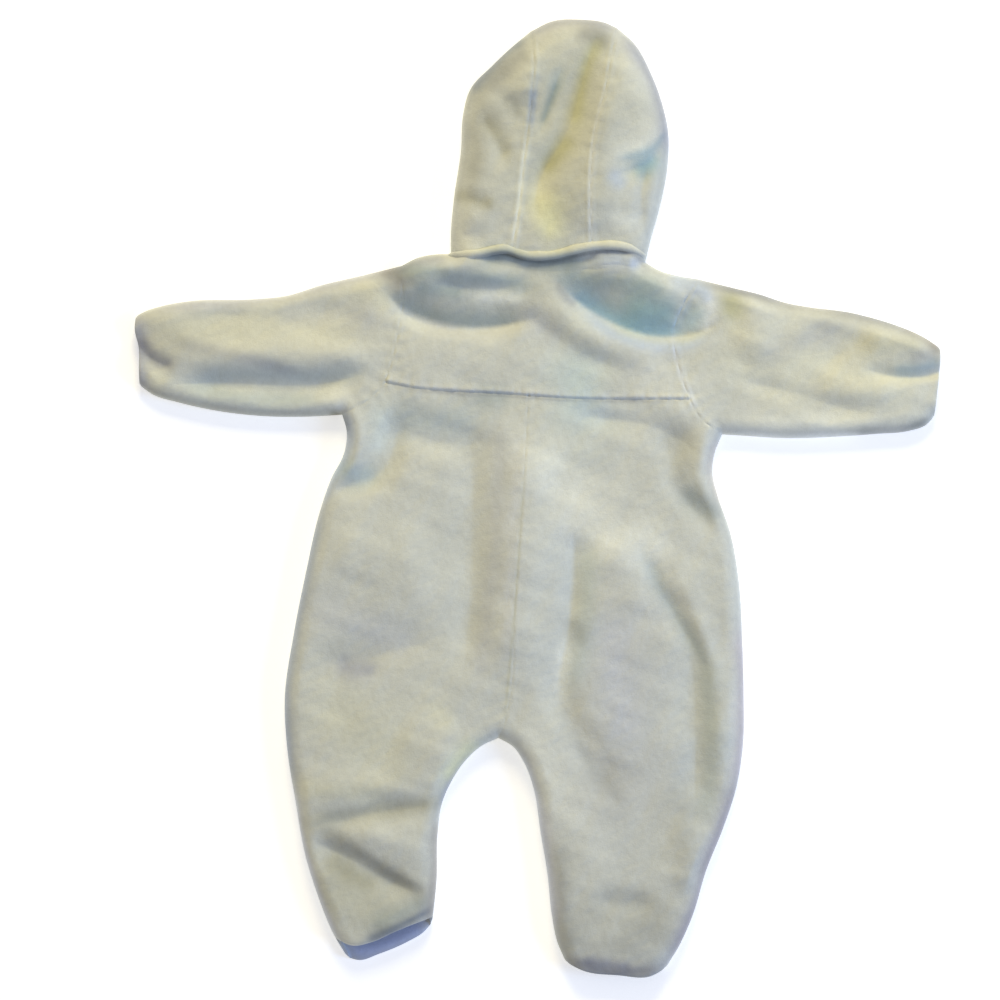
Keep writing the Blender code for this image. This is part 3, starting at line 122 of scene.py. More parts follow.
# Columns: rise (negative for a trough), widths to the left and right of the line as it
# runs, how sharp its line is from 0 to 1, and the line.
FOLDS = [
    # across the shoulders
    (4.5, 12, 15, 0.0, [(-116, 98), (-78, 95), (-40, 95), (-6, 90)]),
    (3.6, 8, 9, 0.0, [(-82, 104), (-60, 106), (-34, 108)]),
    (-10.0, 21, 6, 0.6, [(-121, 81), (-104, 63), (-77, 53), (-46, 52.5), (-18, 58), (10, 67)]),
    (-3.2, 7, 6, 0.4, [(-86, 87.5), (-52, 85.5), (-12, 87)]),
    (4.2, 8, 13, 0.0, [(2, 97), (16, 77), (32, 62), (54, 50), (84, 42), (118, 33)]),
    (4.5, 12, 17, 0.0, [(28, 102), (60, 99), (88, 95), (112, 86), (124, 72)]),
    (3.0, 8, 9, 0.0, [(40, 112), (62, 114), (88, 112)]),
    (-0.7, 1.6, 2.2, 0.3, [(28, 112), (48, 114.5), (72, 116)]),
    (-0.45, 1.4, 1.7, 0.3, [(46, 108), (60, 110.5), (84, 109)]),
    (-0.4, 1.4, 1.4, 0.3, [(33, 105), (46, 106), (62, 108.5)]),
    (-0.25, 1.2, 1.3, 0.3, [(52, 101), (64, 103.5), (76, 102)]),
    (-11.5, 24, 6, 0.6, [(14, 99), (34, 81), (54, 69), (76, 60), (98, 56), (118, 57),
                         (136, 62), (154, 74)]),
    (-2.8, 9, 12, 0.2, [(-12, 74), (4, 60), (22, 47), (46, 36), (76, 27)]),
    (2.0, 20, 20, 0.0, [(-118, 22), (-62, 30), (0, 28)]),
    # under the yoke and at the underarms
    (-4.2, 20, 14, 0.2, [(-118, -24), (-80, -37), (-40, -39), (-14, -34)]),
    (-3.0, 9, 12, 0.3, [(30, -11), (66, -13), (100, -16), (126, -27), (146, -44)]),
    (4.0, 11, 11, 0.0, [(-146, -16), (-138, -46), (-148, -82)]),
    (-5.4, 9, 19, 0.15, [(-98, -12), (-104, -36), (-108, -56), (-121, -72), (-146, -79),
                         (-170, -82)]),
    (3.0, 12, 12, 0.0, [(132, -6), (148, -36), (158, -70), (168, -104)]),
    (-3.8, 14, 10, 0.1, [(102, -8), (113, -28), (117, -48), (126, -68), (146, -86),
                         (170, -100)]),
    # down the body
    (7.0, 23, 22, 0.0, [(3, 4), (3, -70), (2, -150), (-1, -250)]),
    (-4.8, 13, 19, 0.2, [(-46, -16), (-39, -90), (-36, -160), (-40, -244)]),
    (4.0, 28, 30, 0.0, [(-160, -116), (-112, -136), (-62, -130)]),
    (-4.6, 13, 22, 0.3, [(-52, -194), (-90, -206), (-122, -216), (-168, -228)]),
    (3.0, 22, 22, 0.0, [(-92, -272), (-62, -284), (-36, -290)]),
    (-6.0, 14, 12, 0.3, [(40, -84), (45, -140), (43, -190), (38, -228), (44, -262)]),
    (-2.6, 12, 7, 0.4, [(43, -102), (45, -122), (46, -150), (45, -178)]),
    (-4.4, 12, 14, 0.1, [(38, -212), (42, -240), (57, -266), (76, -292), (100, -318)]),
    (2.4, 18, 18, 0.0, [(60, -110), (88, -136), (98, -176)]),
    (-3.6, 9, 11, 0.3, [(93, -106), (108, -134), (128, -166), (146, -192), (164, -220)]),
    (-4.6, 13, 14, 0.2, [(134, -172), (145, -212), (149, -250), (152, -300), (152, -344)]),
    (3.2, 10, 9, 0.0, [(116, -104), (147, -172), (167, -236), (173, -320)]),
    # legs
    (2.8, 13, 11, 0.0, [(-172, -322), (-112, -318), (-46, -314)]),
    (-3.6, 9, 13, 0.3, [(-162, -354), (-130, -347), (-100, -338), (-70, -332), (-42, -327)]),
    (2.4, 12, 12, 0.0, [(-128, -342), (-88, -358), (-50, -370)]),
    (-6.2, 8, 17, 0.3, [(-160, -359), (-142, -367), (-122, -375), (-100, -386), (-80, -395),
                        (-54, -405)]),
    (2.6, 12, 12, 0.0, [(138, -322), (150, -350), (146, -392)]),
    (-2.2, 9, 11, 0.1, [(72, -394), (102, -398), (132, -395)]),
    # left sleeve
    (4.5, 12, 13, 0.0, [(-312, 22), (-250, 19), (-200, 23), (-150, 26), (-96, 30)]),
    (-6.6, 9, 11, 0.4, [(-298, -8), (-270, -5), (-240, -2), (-205, -2), (-176, 0), (-148, 6),
                        (-124, 14)]),
    (-2.4, 12, 12, 0.0, [(-292, 48), (-200, 54), (-120, 66)]),
    (-3.2, 9, 7, 0.3, [(-324, 40), (-315, 25), (-306, 15), (-296, 10), (-280, 7)]),
    # right sleeve
    (4.2, 15, 13, 0.0, [(160, 106), (176, 84), (178, 62), (166, 38)]),
    (-2.2, 15, 15, 0.2, [(214, 68), (238, 56), (254, 42)]),
    (3.4, 11, 12, 0.0, [(256, 62), (294, 64), (330, 60)]),
    (-5.0, 6, 5, 0.4, [(262, 41), (284, 36.5), (306, 36.5), (328, 42), (344, 51)]),
    (3.0, 12, 11, 0.0, [(222, 28), (262, 21), (304, 26)]),
    (-2.2, 9, 10, 0.3, [(160, 26), (214, 17), (250, 8), (286, 4)]),
    # hood
    (-7.5, 12, 14, 0.3, [(37, 300), (30, 268), (25, 240), (17, 212), (5, 190), (-3, 168),
                         (-4, 136)]),
    (-2.4, 6, 6, 0.3, [(12, 272), (8, 257), (3, 236), (-3, 216), (-8, 202)]),
    (-1.4, 5, 5, 0.3, [(-7, 258), (-9, 240), (-11, 216)]),
    (6.0, 22, 20, 0.0, [(56, 290), (50, 240), (45, 200), (42, 150), (34, 118)]),
    (3.6, 10, 11, 0.0, [(-8, 282), (-15, 258), (-19, 232)]),
    (-4.8, 10, 11, 0.4, [(118, 244), (103, 218), (91, 200), (77, 189), (62, 183), (46, 182)]),
    (-3.2, 6, 7, 0.4, [(84, 196), (80, 166), (86, 134)]),
    (-2.6, 8, 9, 0.3, [(-54, 230), (-43, 211), (-34, 196), (-24, 182)]),
    (-2.0, 7, 7, 0.3, [(-72, 162), (-54, 155), (-38, 152)]),
    (-1.8, 6, 6, 0.2, [(-72, 132), (-56, 127), (-38, 126)]),
]
FOLD_TAPER = 0.3
FOLD_EDGE_FADE = 14.0
FOLD_REACH, KEEN_FALL = 3.2, 1.6
FOLD_WIDTH_WAVE, FOLD_WIDTH_WAVE_LENGTH = 0.14, 17.0
FOLD_RISE_WAVE, FOLD_RISE_WAVE_LENGTH = 0.12, 11.0
BLOCK_POINTS, SAME_DISTANCE = 4000, 0.05


def lengths(line):
    return np.r_[0.0, np.cumsum(np.linalg.norm(np.diff(line, axis=0), axis=1))]


def along(line, fractions):
    """Points at the given fractions of a line's length."""
    run = lengths(line)
    where = np.asarray(fractions) * run[-1]
    return np.stack([np.interp(where, run, axis) for axis in line.T], axis=1)


def smooth(points, step=3.0):
    """A smooth curve through the points, as even points about one step apart."""
    p = np.array(points, float)
    knots = lengths(p)
    slope = np.gradient(p, knots, axis=0)
    s = np.linspace(0.0, knots[-1], int(knots[-1] / step * 6) + 2)
    i = np.clip(np.searchsorted(knots, s, side="right") - 1, 0, len(p) - 2)
    h = (knots[i + 1] - knots[i])[:, None]
    t = (s - knots[i])[:, None] / h
    line = (1 + 2 * t) * (1 - t) ** 2 * p[i] + t * (1 - t) ** 2 * h * slope[i]
    line += t * t * (3 - 2 * t) * p[i + 1] + t * t * (t - 1) * h * slope[i + 1]
    count = int(np.ceil(lengths(line)[-1] / step)) + 1
    return along(line, np.linspace(0.0, 1.0, count))


def cut_at_y(line, y):
    """The line from its start down to where it first passes height y."""
    past = int(np.argmax(line[:, 1] < y))
    a, b = line[past - 1], line[past]
    return np.vstack([line[:past], a + (b - a) * (a[1] - y) / (a[1] - b[1])])


def crowd(cells, start=False, end=False):
    """Fractions 0 to 1, crowded towards the start, the end or both."""
    u = np.linspace(0.0, 1.0, cells + 1)
    if start and end:
        return np.where(u < 0.5, 0.5 * (2 * u) ** EDGE_POWER,
                        1 - 0.5 * np.abs(2 * (1 - u)) ** EDGE_POWER)
    if start:
        return u ** EDGE_POWER
    return 1 - (1 - u) ** EDGE_POWER if end else u


def chain(*runs):
    return np.vstack([runs[0]] + [run[1:] for run in runs[1:]])


def share(line):
    run = lengths(line)
    return run / run[-1]


def patch(top, bottom, left, right):
    """Grid of points that meets its four edges.  Rows run from top to bottom."""
    v = (0.5 * (share(left) + share(right)))[:, None, None]
    u = (1 - v) * share(top)[None, :, None] + v * share(bottom)[None, :, None]
    ruled = (1 - v) * top[None] + v * bottom[None]
    left_miss = left[:, None] - ruled[:, :1]
    right_miss = right[:, None] - ruled[:, -1:]
    return ruled + (1 - u) * left_miss + u * right_miss


def rise_between(value, low, high):
    t = np.clip((value - low) / (high - low), 0.0, 1.0)
    return t * t * (3 - 2 * t)


def beside(xy, line, reach):
    """Where points lie beside a line: their gap to it, the step off it, whether they are to
    its left as it runs, how far along it they are, and the side normals where they touch it.

    Points further off than reach keep the gap reach and zeros.
    """
    count = len(xy)
    gap = np.full(count, float(reach))
    off, direction = np.zeros((count, 2)), np.zeros((count, 2))
    travelled, touched = np.zeros(count), np.zeros((count, 2))
    start, run = line[:-1], np.diff(line, axis=0)
    size = np.linalg.norm(run, axis=1)
    unit = run / size[:, None]
    normal = np.stack([-unit[:, 1], unit[:, 0]], axis=1)
    before = lengths(line)
    low, high = line.min(axis=0) - reach, line.max(axis=0) + reach
    near = np.flatnonzero(np.all((xy > low) & (xy < high), axis=1))
    # In blocks, because each holds every distance from its points to the line's pieces.
    for block in np.array_split(near, len(near) // BLOCK_POINTS + 1):
        p = xy[block]
        if not len(p):
            continue
        t = np.clip(p @ unit.T - np.sum(start * unit, axis=1), 0.0, size)
        foot = start[None] + t[..., None] * unit[None]
        distance = np.linalg.norm(p[:, None] - foot, axis=2)
        best = np.argmin(distance, axis=1)
        rows = np.arange(len(p))
        gap[block] = np.minimum(distance[rows, best], reach)
        off[block] = p - foot[rows, best]
        direction[block] = unit[best]
        travelled[block] = before[best] + t[rows, best]
        touched[block] = (distance < distance[rows, best][:, None] + SAME_DISTANCE) @ normal
    left = direction[:, 0] * off[:, 1] - direction[:, 1] * off[:, 0] > 0
    return SimpleNamespace(gap=gap, off=off, left=left, travelled=travelled, touched=touched)


shoulder_left, shoulder_right = smooth(SHOULDER_LEFT), smooth(SHOULDER_RIGHT)
sleeve_top_left, sleeve_top_right = smooth(SLEEVE_TOP_LEFT), smooth(SLEEVE_TOP_RIGHT)
sleeve_under_left = smooth(SLEEVE_UNDER_LEFT)
sleeve_under_right = smooth(SLEEVE_UNDER_RIGHT)
side_left, side_right = smooth(SIDE_LEFT), smooth(SIDE_RIGHT)
inseam_left, inseam_right = smooth(INSEAM_LEFT), smooth(INSEAM_RIGHT)
hood_edge_left, hood_edge_right = smooth(HOOD_EDGE_LEFT), smooth(HOOD_EDGE_RIGHT)
hood_edge_top = smooth(HOOD_EDGE_TOP)
# Each runs with the cloth on its left.
FOLD_EDGES = [shoulder_left[::-1], shoulder_right, sleeve_top_left, sleeve_top_right[::-1],
              sleeve_under_left[::-1], sleeve_under_right, side_left, side_right[::-1],
              inseam_left[::-1], inseam_right, hood_edge_left[::-1], hood_edge_top[::-1],
              hood_edge_right]
# The middle of the rolled hem, where the hood stands up from the neckband.
ROLL_LINE = [(-71, 110.4), (-57, 111.5), (-45, 113.2), (-34, 116.4), (-26, 117.9),
             (-18, 116), (-10, 113.9), (2, 114.1), (14, 115.8), (24, 119.1), (35, 122.6),
             (45, 124.9), (56, 126), (67, 125.8), (76, 123.8), (87.5, 118)]
ROLL_MIDDLE_X, ROLL_Y, ROLL_END_ZONE, ROLL_END_RISE = 8.0, 119.0, (26.0, 62.0), 3.0
ROLL_STEP, STEP_START, STEP_END = 0.45, -3.6, 2.4
SLOPE_START, ROLL_SLOPE = -4.0, 55.0
SINK_AT, SINK_WIDTH, SINK_REACH = 5.0, 4.5, 30.0
roll_line = smooth(ROLL_LINE)
# The same line led on past both sides of the neck, clear of the shoulders.
hood_foot = smooth([(-140, 142), (-92, 122), *ROLL_LINE, (108, 130), (160, 152)])
OPEN_EDGES = [smooth(edge) for edge in (CUFF_LEFT, CUFF_RIGHT, HEM_LEFT, HEM_RIGHT)]
# Columns: how deep the stitched seam sinks, how wide, how much the cloth swells to its
# left and to its right as it runs, how strong its puckers are, and the seam.
SEAMS = [
    (0.4, 1.0, 0.0, 0.0, 0.20, YOKE_SEAM_LEFT),
    (0.4, 1.0, 0.0, 0.0, 0.20, YOKE_SEAM_RIGHT),
    (0.1, 1.0, 0.1, 0.1, 0.15, CENTRE_SEAM),
    (0.05, 1.0, 0.15, 0.15, 0.30, ARMHOLE_LEFT),
    (0.0, 1.0, 0.15, 0.15, 0.30, ARMHOLE_LEFT_LOW),
    (0.05, 0.8, 0.4, 0.2, 0.30, ARMHOLE_RIGHT),
    (0.05, 0.8, 0.35, 0.2, 0.30, ARMHOLE_RIGHT_LOW),
    (0.1, 1.2, 0.0, 0.0, 0.05, BACK_NECK),
    (0.15, 0.8, 0.3, 0.4, 0.30, HOOD_SEAM_LEFT),
    (0.0, 0.8, 0.4, 0.3, 0.30, HOOD_SEAM_RIGHT),
]
SEAM_SWELL_AT, SEAM_SWELL_WIDTH = 2.3, 1.7
SEAM_REACH, PUCKER_LENGTH, PUCKER_WIDTH = 16.0, 13.0, 8.0
PUCKER_DRIFT, PUCKER_DRIFT_LENGTH = 0.4, 23.0
EDGE_SEARCH, ON_EDGE = 40.0, 0.4


def away_from_edge(xy):
    """Distance in from the side edges, and the direction that leads inwards."""
    gap = np.full(len(xy), EDGE_SEARCH)
    inwards, on_edge = np.zeros((len(xy), 2)), np.zeros((len(xy), 2))
    for line in FOLD_EDGES:
        near = beside(xy, line, EDGE_SEARCH)
        closer = near.gap < gap
        gap = np.where(closer, near.gap, gap)
        inwards = np.where(closer[:, None], near.off, inwards)
        on_edge += np.where((near.gap < ON_EDGE)[:, None], near.touched, 0.0)
    inwards = np.where((gap < ON_EDGE)[:, None], on_edge, inwards)
    inwards /= np.maximum(np.linalg.norm(inwards, axis=1), 1e-9)[:, None]
    return gap, inwards


GOLDEN_ANGLE, WAVE_COUNT, WAVE_GAIN = 2.399963, 7, 1.6


def waves(xy, wavelength, seed):
    """A soft uneven surface from -1 to 1: plane waves in fixed, scattered directions."""
    total = np.zeros(len(xy))
    for k in range(WAVE_COUNT):
        angle = GOLDEN_ANGLE * k + seed
        stretch = 1.0 + 0.35 * math.sin(3.1 * k + seed)
        turn = 2 * math.pi / (wavelength * stretch)
        across = xy[:, 0] * math.cos(angle) + xy[:, 1] * math.sin(angle)
        total += np.sin(across * turn + 5.3 * k + 1.7 * seed)
    return total / WAVE_COUNT * WAVE_GAIN


def fold_rise(xy):
    """Sum of all the folds' rises, each a little uneven along its length."""
    total = np.zeros(len(xy))
    for k, (rise, width_left, width_right, sharp, points) in enumerate(FOLDS):
        line = smooth(points)
        near = beside(xy, line, FOLD_REACH * max(width_left, width_right))
        width = np.where(near.left, width_left, width_right)
        width = width * (1 + FOLD_WIDTH_WAVE * np.sin(near.travelled / FOLD_WIDTH_WAVE_LENGTH + k))
        reach = near.travelled / lengths(line)[-1]
        taper = rise_between(np.minimum(reach, 1 - reach), 0.0, FOLD_TAPER)
        taper = taper * (1 + FOLD_RISE_WAVE * np.sin(near.travelled / FOLD_RISE_WAVE_LENGTH
                                                     + 2 * k))
        soft = np.exp(-(near.gap / width) ** 2)
        keen = np.exp(-KEEN_FALL * near.gap / width)
        total += rise * taper * ((1 - sharp) * soft + sharp * keen)
    return total


def roll_ends(xy):
    """0 along the middle of the rolled hem and 1 at its two ends."""
    return rise_between(np.abs(xy[:, 0] - ROLL_MIDDLE_X), *ROLL_END_ZONE)


def hood_share(xy):
    """0 on the body and 1 on the hood.

    Part of the rise is a step under the rolled hem, the rest a slope behind it.
    """
    reach = ROLL_SLOPE + 10.0
    near = beside(xy, hood_foot, reach)
    beyond = np.where(near.gap < reach, np.where(near.left, near.gap, -near.gap),
                      np.where(xy[:, 1] > ROLL_Y, reach, -reach))
    step = rise_between(beyond, STEP_START, STEP_END + ROLL_END_RISE * roll_ends(xy))
    return ROLL_STEP * step + (1 - ROLL_STEP) * rise_between(beyond, SLOPE_START, ROLL_SLOPE)


def beside_roll(xy):
    """The neckband sinks between the middle of the rolled hem and the yoke."""
    gap = beside(xy, roll_line, SINK_REACH).gap
    sunk = np.exp(-((gap - SINK_AT) / SINK_WIDTH) ** 2) * (gap < SINK_REACH)
    sunk *= rise_between(ROLL_Y - xy[:, 1], -4.0, 3.0)
    return sunk * (1 - roll_ends(xy))


def seam_relief(xy):
    """The stitched groove along each seam, with the swell and puckers beside it."""
    total = np.zeros(len(xy))
    for k, (deep, wide, swell_left, swell_right, pucker, points) in enumerate(SEAMS):
        near = beside(xy, smooth(points), SEAM_REACH)
        groove = np.exp(-(near.gap / wide) ** 2)
        swell = (np.exp(-((near.gap - SEAM_SWELL_AT) / SEAM_SWELL_WIDTH) ** 2)
                 * np.where(near.left, swell_left, swell_right))
        drift = PUCKER_DRIFT * np.sin(near.travelled / PUCKER_DRIFT_LENGTH + k)
        pull = np.sin(2 * math.pi * (near.travelled / PUCKER_LENGTH + drift))
        pull = pull * np.exp(-(near.gap / PUCKER_WIDTH) ** 2) * (1 - groove)
        total += swell - deep * groove + pucker * pull
    return total


SLEEVE_ZONE_X, SLEEVE_ZONE_Y = (130.0, 175.0), (-60.0, -25.0)
HEM_SEARCH = 60.0
# The cloth is nowhere quite even.  Height, length and seed of the broad, middling and
# small unevenness.
BROAD, MIDDLING, SMALL = (0.7, 75.0, 0.4), (0.4, 31.0, 1.9), (0.16, 11.0, 2.7)
SMALL_EDGE_FADE = 4.0


def crown_height(xy, gap, with_seams=True):
    """Height of the back layer's outer face, away from its side edges."""
    sleeve = rise_between(np.abs(xy[:, 0] - MIDDLE_X), *SLEEVE_ZONE_X)
    sleeve = sleeve * rise_between(xy[:, 1], *SLEEVE_ZONE_Y)
    base = BODY_CROWN + (SLEEVE_CROWN - BODY_CROWN) * sleeve
    base += (HOOD_CROWN - base) * hood_share(xy) - NECKBAND_SINK * beside_roll(xy)
    to_hem = np.full(len(xy), HEM_SEARCH)
    for line in OPEN_EDGES:
        to_hem = np.minimum(to_hem, beside(xy, line, HEM_SEARCH).gap)
    base -= HEM_DROP * np.exp(-(to_hem / HEM_REACH) ** 2)
    broad, middling, small = [high * waves(xy, long, seed)
                              for high, long, seed in (BROAD, MIDDLING, SMALL)]
    relief = fold_rise(xy) + broad + middling
    relief += seam_relief(xy) if with_seams else 0.0
    height = base + relief * rise_between(gap, 0.0, FOLD_EDGE_FADE)
    height += small * rise_between(gap, 0.0, SMALL_EDGE_FADE)
    over = (height - LOWEST) / LIMIT_SOFTNESS
    return LOWEST + LIMIT_SOFTNESS * np.logaddexp(0.0, over)


ZIP_X, ZIP_HALF_OPENING = 3.0, 6.5
ZIP_BOTTOM, ZIP_SEAM_START = -214.0, -228.0
NECK_FRONT_Y, BAND_FRONT_Y = 80.0, 92.0
ZIP_LIFT, ZIP_LIFT_X = 0.8, (12.0, 30.0)
ZIP_LIFT_FOOT = (ZIP_SEAM_START - 25.0, ZIP_BOTTOM - 5.0)
ZIP_LIFT_TOP = (BAND_FRONT_Y + 3.0, BAND_FRONT_Y + 30.0)


def front_height(xy):
    """Height of the front layer's outer face: on the floor, but lifted along the zip."""
    across = 1 - rise_between(np.abs(xy[:, 0] - ZIP_X), *ZIP_LIFT_X)
    lengthwise = rise_between(xy[:, 1], *ZIP_LIFT_FOOT)
    below_hood = 1 - rise_between(xy[:, 1], *ZIP_LIFT_TOP)
    return ZIP_LIFT * across * lengthwise * below_hood


SHARPEST_CLEAR = 0.35


def draw_in(grid, border, marks, ring=False):
    """Move the marked points of one border half a seam gap into the piece."""
    moved = grid.copy()
    row, beyond, target = {"top": (grid[0], grid[1], moved[0]),
                           "bottom": (grid[-1], grid[-2], moved[-1]),
                           "left": (grid[:, 0], grid[:, 1], moved[:, 0]),
                           "right": (grid[:, -1], grid[:, -2], moved[:, -1])}[border]
    way = beyond - row
    way /= np.linalg.norm(way, axis=1)[:, None]
    ends = (row[-1:], row[:1]) if ring else (row[:1], row[-1:])
    run = np.diff(np.vstack([ends[0], row, ends[1]]), axis=0)
    clear = np.ones(len(row))
    for edge in (run[:-1], run[1:]):
        size = np.linalg.norm(edge, axis=1)
        across = np.abs(edge[:, 0] * way[:, 1] - edge[:, 1] * way[:, 0])
        clear = np.where(size > 0, np.minimum(clear, across / np.maximum(size, 1e-9)), clear)
    target += way * (SEAM_GAP / 2 / np.maximum(clear, SHARPEST_CLEAR) * marks)[:, None]
    return moved


def lift(grid, side, rim, clear, lap):
    """Outer and inner face of a piece, from its flat grid.

    side is 1 on the back layer, -1 on the front layer and 0 on a folded side edge.
    """
    xy, side = grid.reshape(-1, 2), side.reshape(-1)
    gap, inwards = away_from_edge(xy)
    gap = np.where(side == 0, 0.0, gap)
    back = side >= 0
    edge_z = SIDE_EDGE_Z + rim
    back_round = BODY_ROUND + (HOOD_ROUND - BODY_ROUND) * hood_share(xy)
    t = np.clip(gap / np.where(back, back_round, FRONT_ROUND), 0.0, 1.0)
    bulge = np.sqrt(1 - (1 - t) ** 2)
    level = np.where(back, crown_height(xy, gap), front_height(xy))
    level += np.where(back, lap(xy) if lap else 0.0, 0.0)
    outer_z = edge_z + (level - edge_z) * bulge
    inner_z = outer_z + np.where(back, -WALL, WALL) * bulge
    outer_xy = xy + clear.reshape(-1, 2)
    inner_xy = outer_xy + inwards * (WALL * (1 - t))[:, None]
    shape = (*grid.shape[:2], 3)
    return (np.column_stack([outer_xy, outer_z]).reshape(shape),
            np.column_stack([inner_xy, inner_z]).reshape(shape))


def place(name, data):
    """Put a new object into the scene."""
    thing = bpy.data.objects.new(name, data)
    bpy.context.scene.collection.objects.link(thing)
    return thing


SHARP_ANGLE = math.radians(70)


def smooth_mesh(name, points, faces):
    """A smooth-shaded piece from points in millimetres, its faces turned outwards."""
    corners = points[np.array([face[:3] for face in faces])]
    volume = np.sum(corners[:, 0] * np.cross(corners[:, 1], corners[:, 2]))
    if volume < 0:
        faces = [face[::-1] for face in faces]
    mesh = bpy.data.meshes.new(name)
    mesh.from_pydata(((points - (MIDDLE_X, MIDDLE_Y, 0.0)) * MM).tolist(), [], faces)
    mesh.shade_smooth()
    mesh.set_sharp_from_angle(angle=SHARP_ANGLE)
    return place(name, mesh)


def shell(name, outer, inner, side, ring=False):
    """A closed shell between two grids of points."""
    rows, columns = outer.shape[:2]
    deep = rows * columns
    last = columns if ring else columns - 1
    i, j = np.meshgrid(np.arange(rows - 1), np.arange(last), indexing="ij")
    k = (j + 1) % columns
    a, b, c, d = i * columns + j, i * columns + k, (i + 1) * columns + k, (i + 1) * columns + j
    quads = np.stack([a, b, c, d], axis=-1).reshape(-1, 4)
    # Where a side edge crosses a cell, the cell is split along the edge.
    flat = side.reshape(-1)
    falls = (flat[quads[:, 0]] == 0) & (flat[quads[:, 2]] == 0)
    rises = (flat[quads[:, 1]] == 0) & (flat[quads[:, 3]] == 0)
    whole = quads[~falls & ~rises]
    thirds = [quads[falls][:, [0, 1, 2]], quads[falls][:, [0, 2, 3]],
              quads[rises][:, [0, 1, 3]], quads[rises][:, [1, 2, 3]]]
    low = np.arange(last)
    high = (low + 1) % columns
    end = (rows - 1) * columns
    rims = [np.stack([deep + low, deep + high, high, low], axis=1),
            np.stack([end + low, end + high, deep + end + high, deep + end + low], axis=1)]
    if not ring:
        first = np.arange(rows - 1) * columns
        final = first + columns - 1
        rims.append(np.stack([first, first + columns, deep + first + columns, deep + first],
                             axis=1))
        rims.append(np.stack([deep + final, deep + final + columns, final + columns, final],
                             axis=1))
    faces = whole.tolist() + (deep + whole[:, ::-1]).tolist() + np.vstack(rims).tolist()
    for third in thirds:
        faces += third.tolist() + (deep + third[:, ::-1]).tolist()
    points = np.vstack([outer.reshape(-1, 3), inner.reshape(-1, 3)])
    return smooth_mesh(name, points, faces)


HEM_TURN, HEM_THINNED = 3.2, 0.42


def sew(name, grid, side, seams, rim=0.0, ring=False, lap=None, hem=None):
    """Build a piece.  seams lists (border, marks) pairs that stand clear of a neighbour.

    hem is the line of an open, turned edge, where both faces round off towards each other.
    """
    moved = grid
    for border, marks in seams:
        moved = draw_in(moved, border, marks, ring)
    outer, inner = lift(grid, side, rim, moved - grid, lap)
    if hem is not None:
        gap = beside(grid.reshape(-1, 2), hem, HEM_TURN).gap.reshape(side.shape)
        turned = 1 - np.sqrt(1 - (1 - gap / HEM_TURN) ** 2)
        pinch = (inner - outer) * (HEM_THINNED * turned)[..., None]
        outer, inner = outer + pinch, inner - pinch
    return shell(name, outer, inner, side, ring)


def marks(count, low=0, high=None):
    """1 for the points of a border that are sewn, 0 for the others."""
    given = np.zeros(count)
    given[low:high] = 1.0
    return given


def even_out(points, cells):
    """A smooth curve in the given number of cells, crowded towards both of its ends."""
    return along(smooth(points), crowd(cells, start=True, end=True))


YOKE_ROWS, ARMHOLE_LOW_CELLS = 72, 24
SHOULDER_CELLS, NECK_SIDE_CELLS, NECK_MIDDLE_CELLS = 27, 50, 80
YOKE_LEFT_CELLS, YOKE_RIGHT_CELLS = 110, 124
CENTRE_SEAM_ROWS, INSEAM_ROWS = 160, 92

yoke_armhole_left = even_out(ARMHOLE_LEFT, YOKE_ROWS)
yoke_armhole_right = even_out(ARMHOLE_RIGHT, YOKE_ROWS)
low_armhole_left = even_out(ARMHOLE_LEFT_LOW, ARMHOLE_LOW_CELLS)
low_armhole_right = even_out(ARMHOLE_RIGHT_LOW, ARMHOLE_LOW_CELLS)
yoke_seam_left = even_out(YOKE_SEAM_LEFT, YOKE_LEFT_CELLS)
yoke_seam_right = even_out(YOKE_SEAM_RIGHT, YOKE_RIGHT_CELLS)
centre_seam = even_out(CENTRE_SEAM, CENTRE_SEAM_ROWS)
neck_line = smooth(BACK_NECK, 1.0)
neck_left_at = np.argmin(np.abs(neck_line[:, 0] - HOOD_SEAM_LEFT[0][0]))
neck_right_at = np.argmin(np.abs(neck_line[:, 0] - HOOD_SEAM_RIGHT[0][0]))
back_neck = chain(
    along(neck_line[:neck_left_at + 1], crowd(NECK_SIDE_CELLS, start=True)),
    along(neck_line[neck_left_at:neck_right_at + 1], crowd(NECK_MIDDLE_CELLS, True, True)),
    along(neck_line[neck_right_at:], crowd(NECK_SIDE_CELLS, end=True)))
yoke_seam_line = chain(smooth(YOKE_SEAM_LEFT), smooth(YOKE_SEAM_RIGHT))


YOKE_LAP, YOKE_ROLL, YOKE_ROLL_START, YOKE_LAP_REACH = 0.82, 2.4, -0.4, 24.0
# How strongly the lapped edge wavers, over what length and from what start.
YOKE_WAVERS = [(0.16, 6.0, 0.0), (0.16, 2.1, 1.3), (0.14, 0.83, 0.0), (0.14, 1.21, 2.0)]
STEEP_SHARE, STEEP_LENGTH, GENTLE_LENGTH = 0.72, 2.3, 8.0


def yoke_lap(xy):
    """The yoke's lower edge is turned under and stands proud of the back panels."""
    near = beside(xy, yoke_seam_line, YOKE_LAP_REACH)
    height = np.full(len(xy), YOKE_LAP)
    height *= 1 + sum(strength * np.sin(near.travelled / length + start)
                      for strength, length, start in YOKE_WAVERS)
    behind = (STEEP_SHARE * np.exp(-((near.gap - YOKE_ROLL) / STEEP_LENGTH) ** 2)
              + (1 - STEEP_SHARE) * np.exp(-near.gap / GENTLE_LENGTH))
    height *= rise_between(near.gap, YOKE_ROLL_START, YOKE_ROLL)
    return height * np.where(near.gap > YOKE_ROLL, behind, 1.0) * (near.gap < YOKE_LAP_REACH)


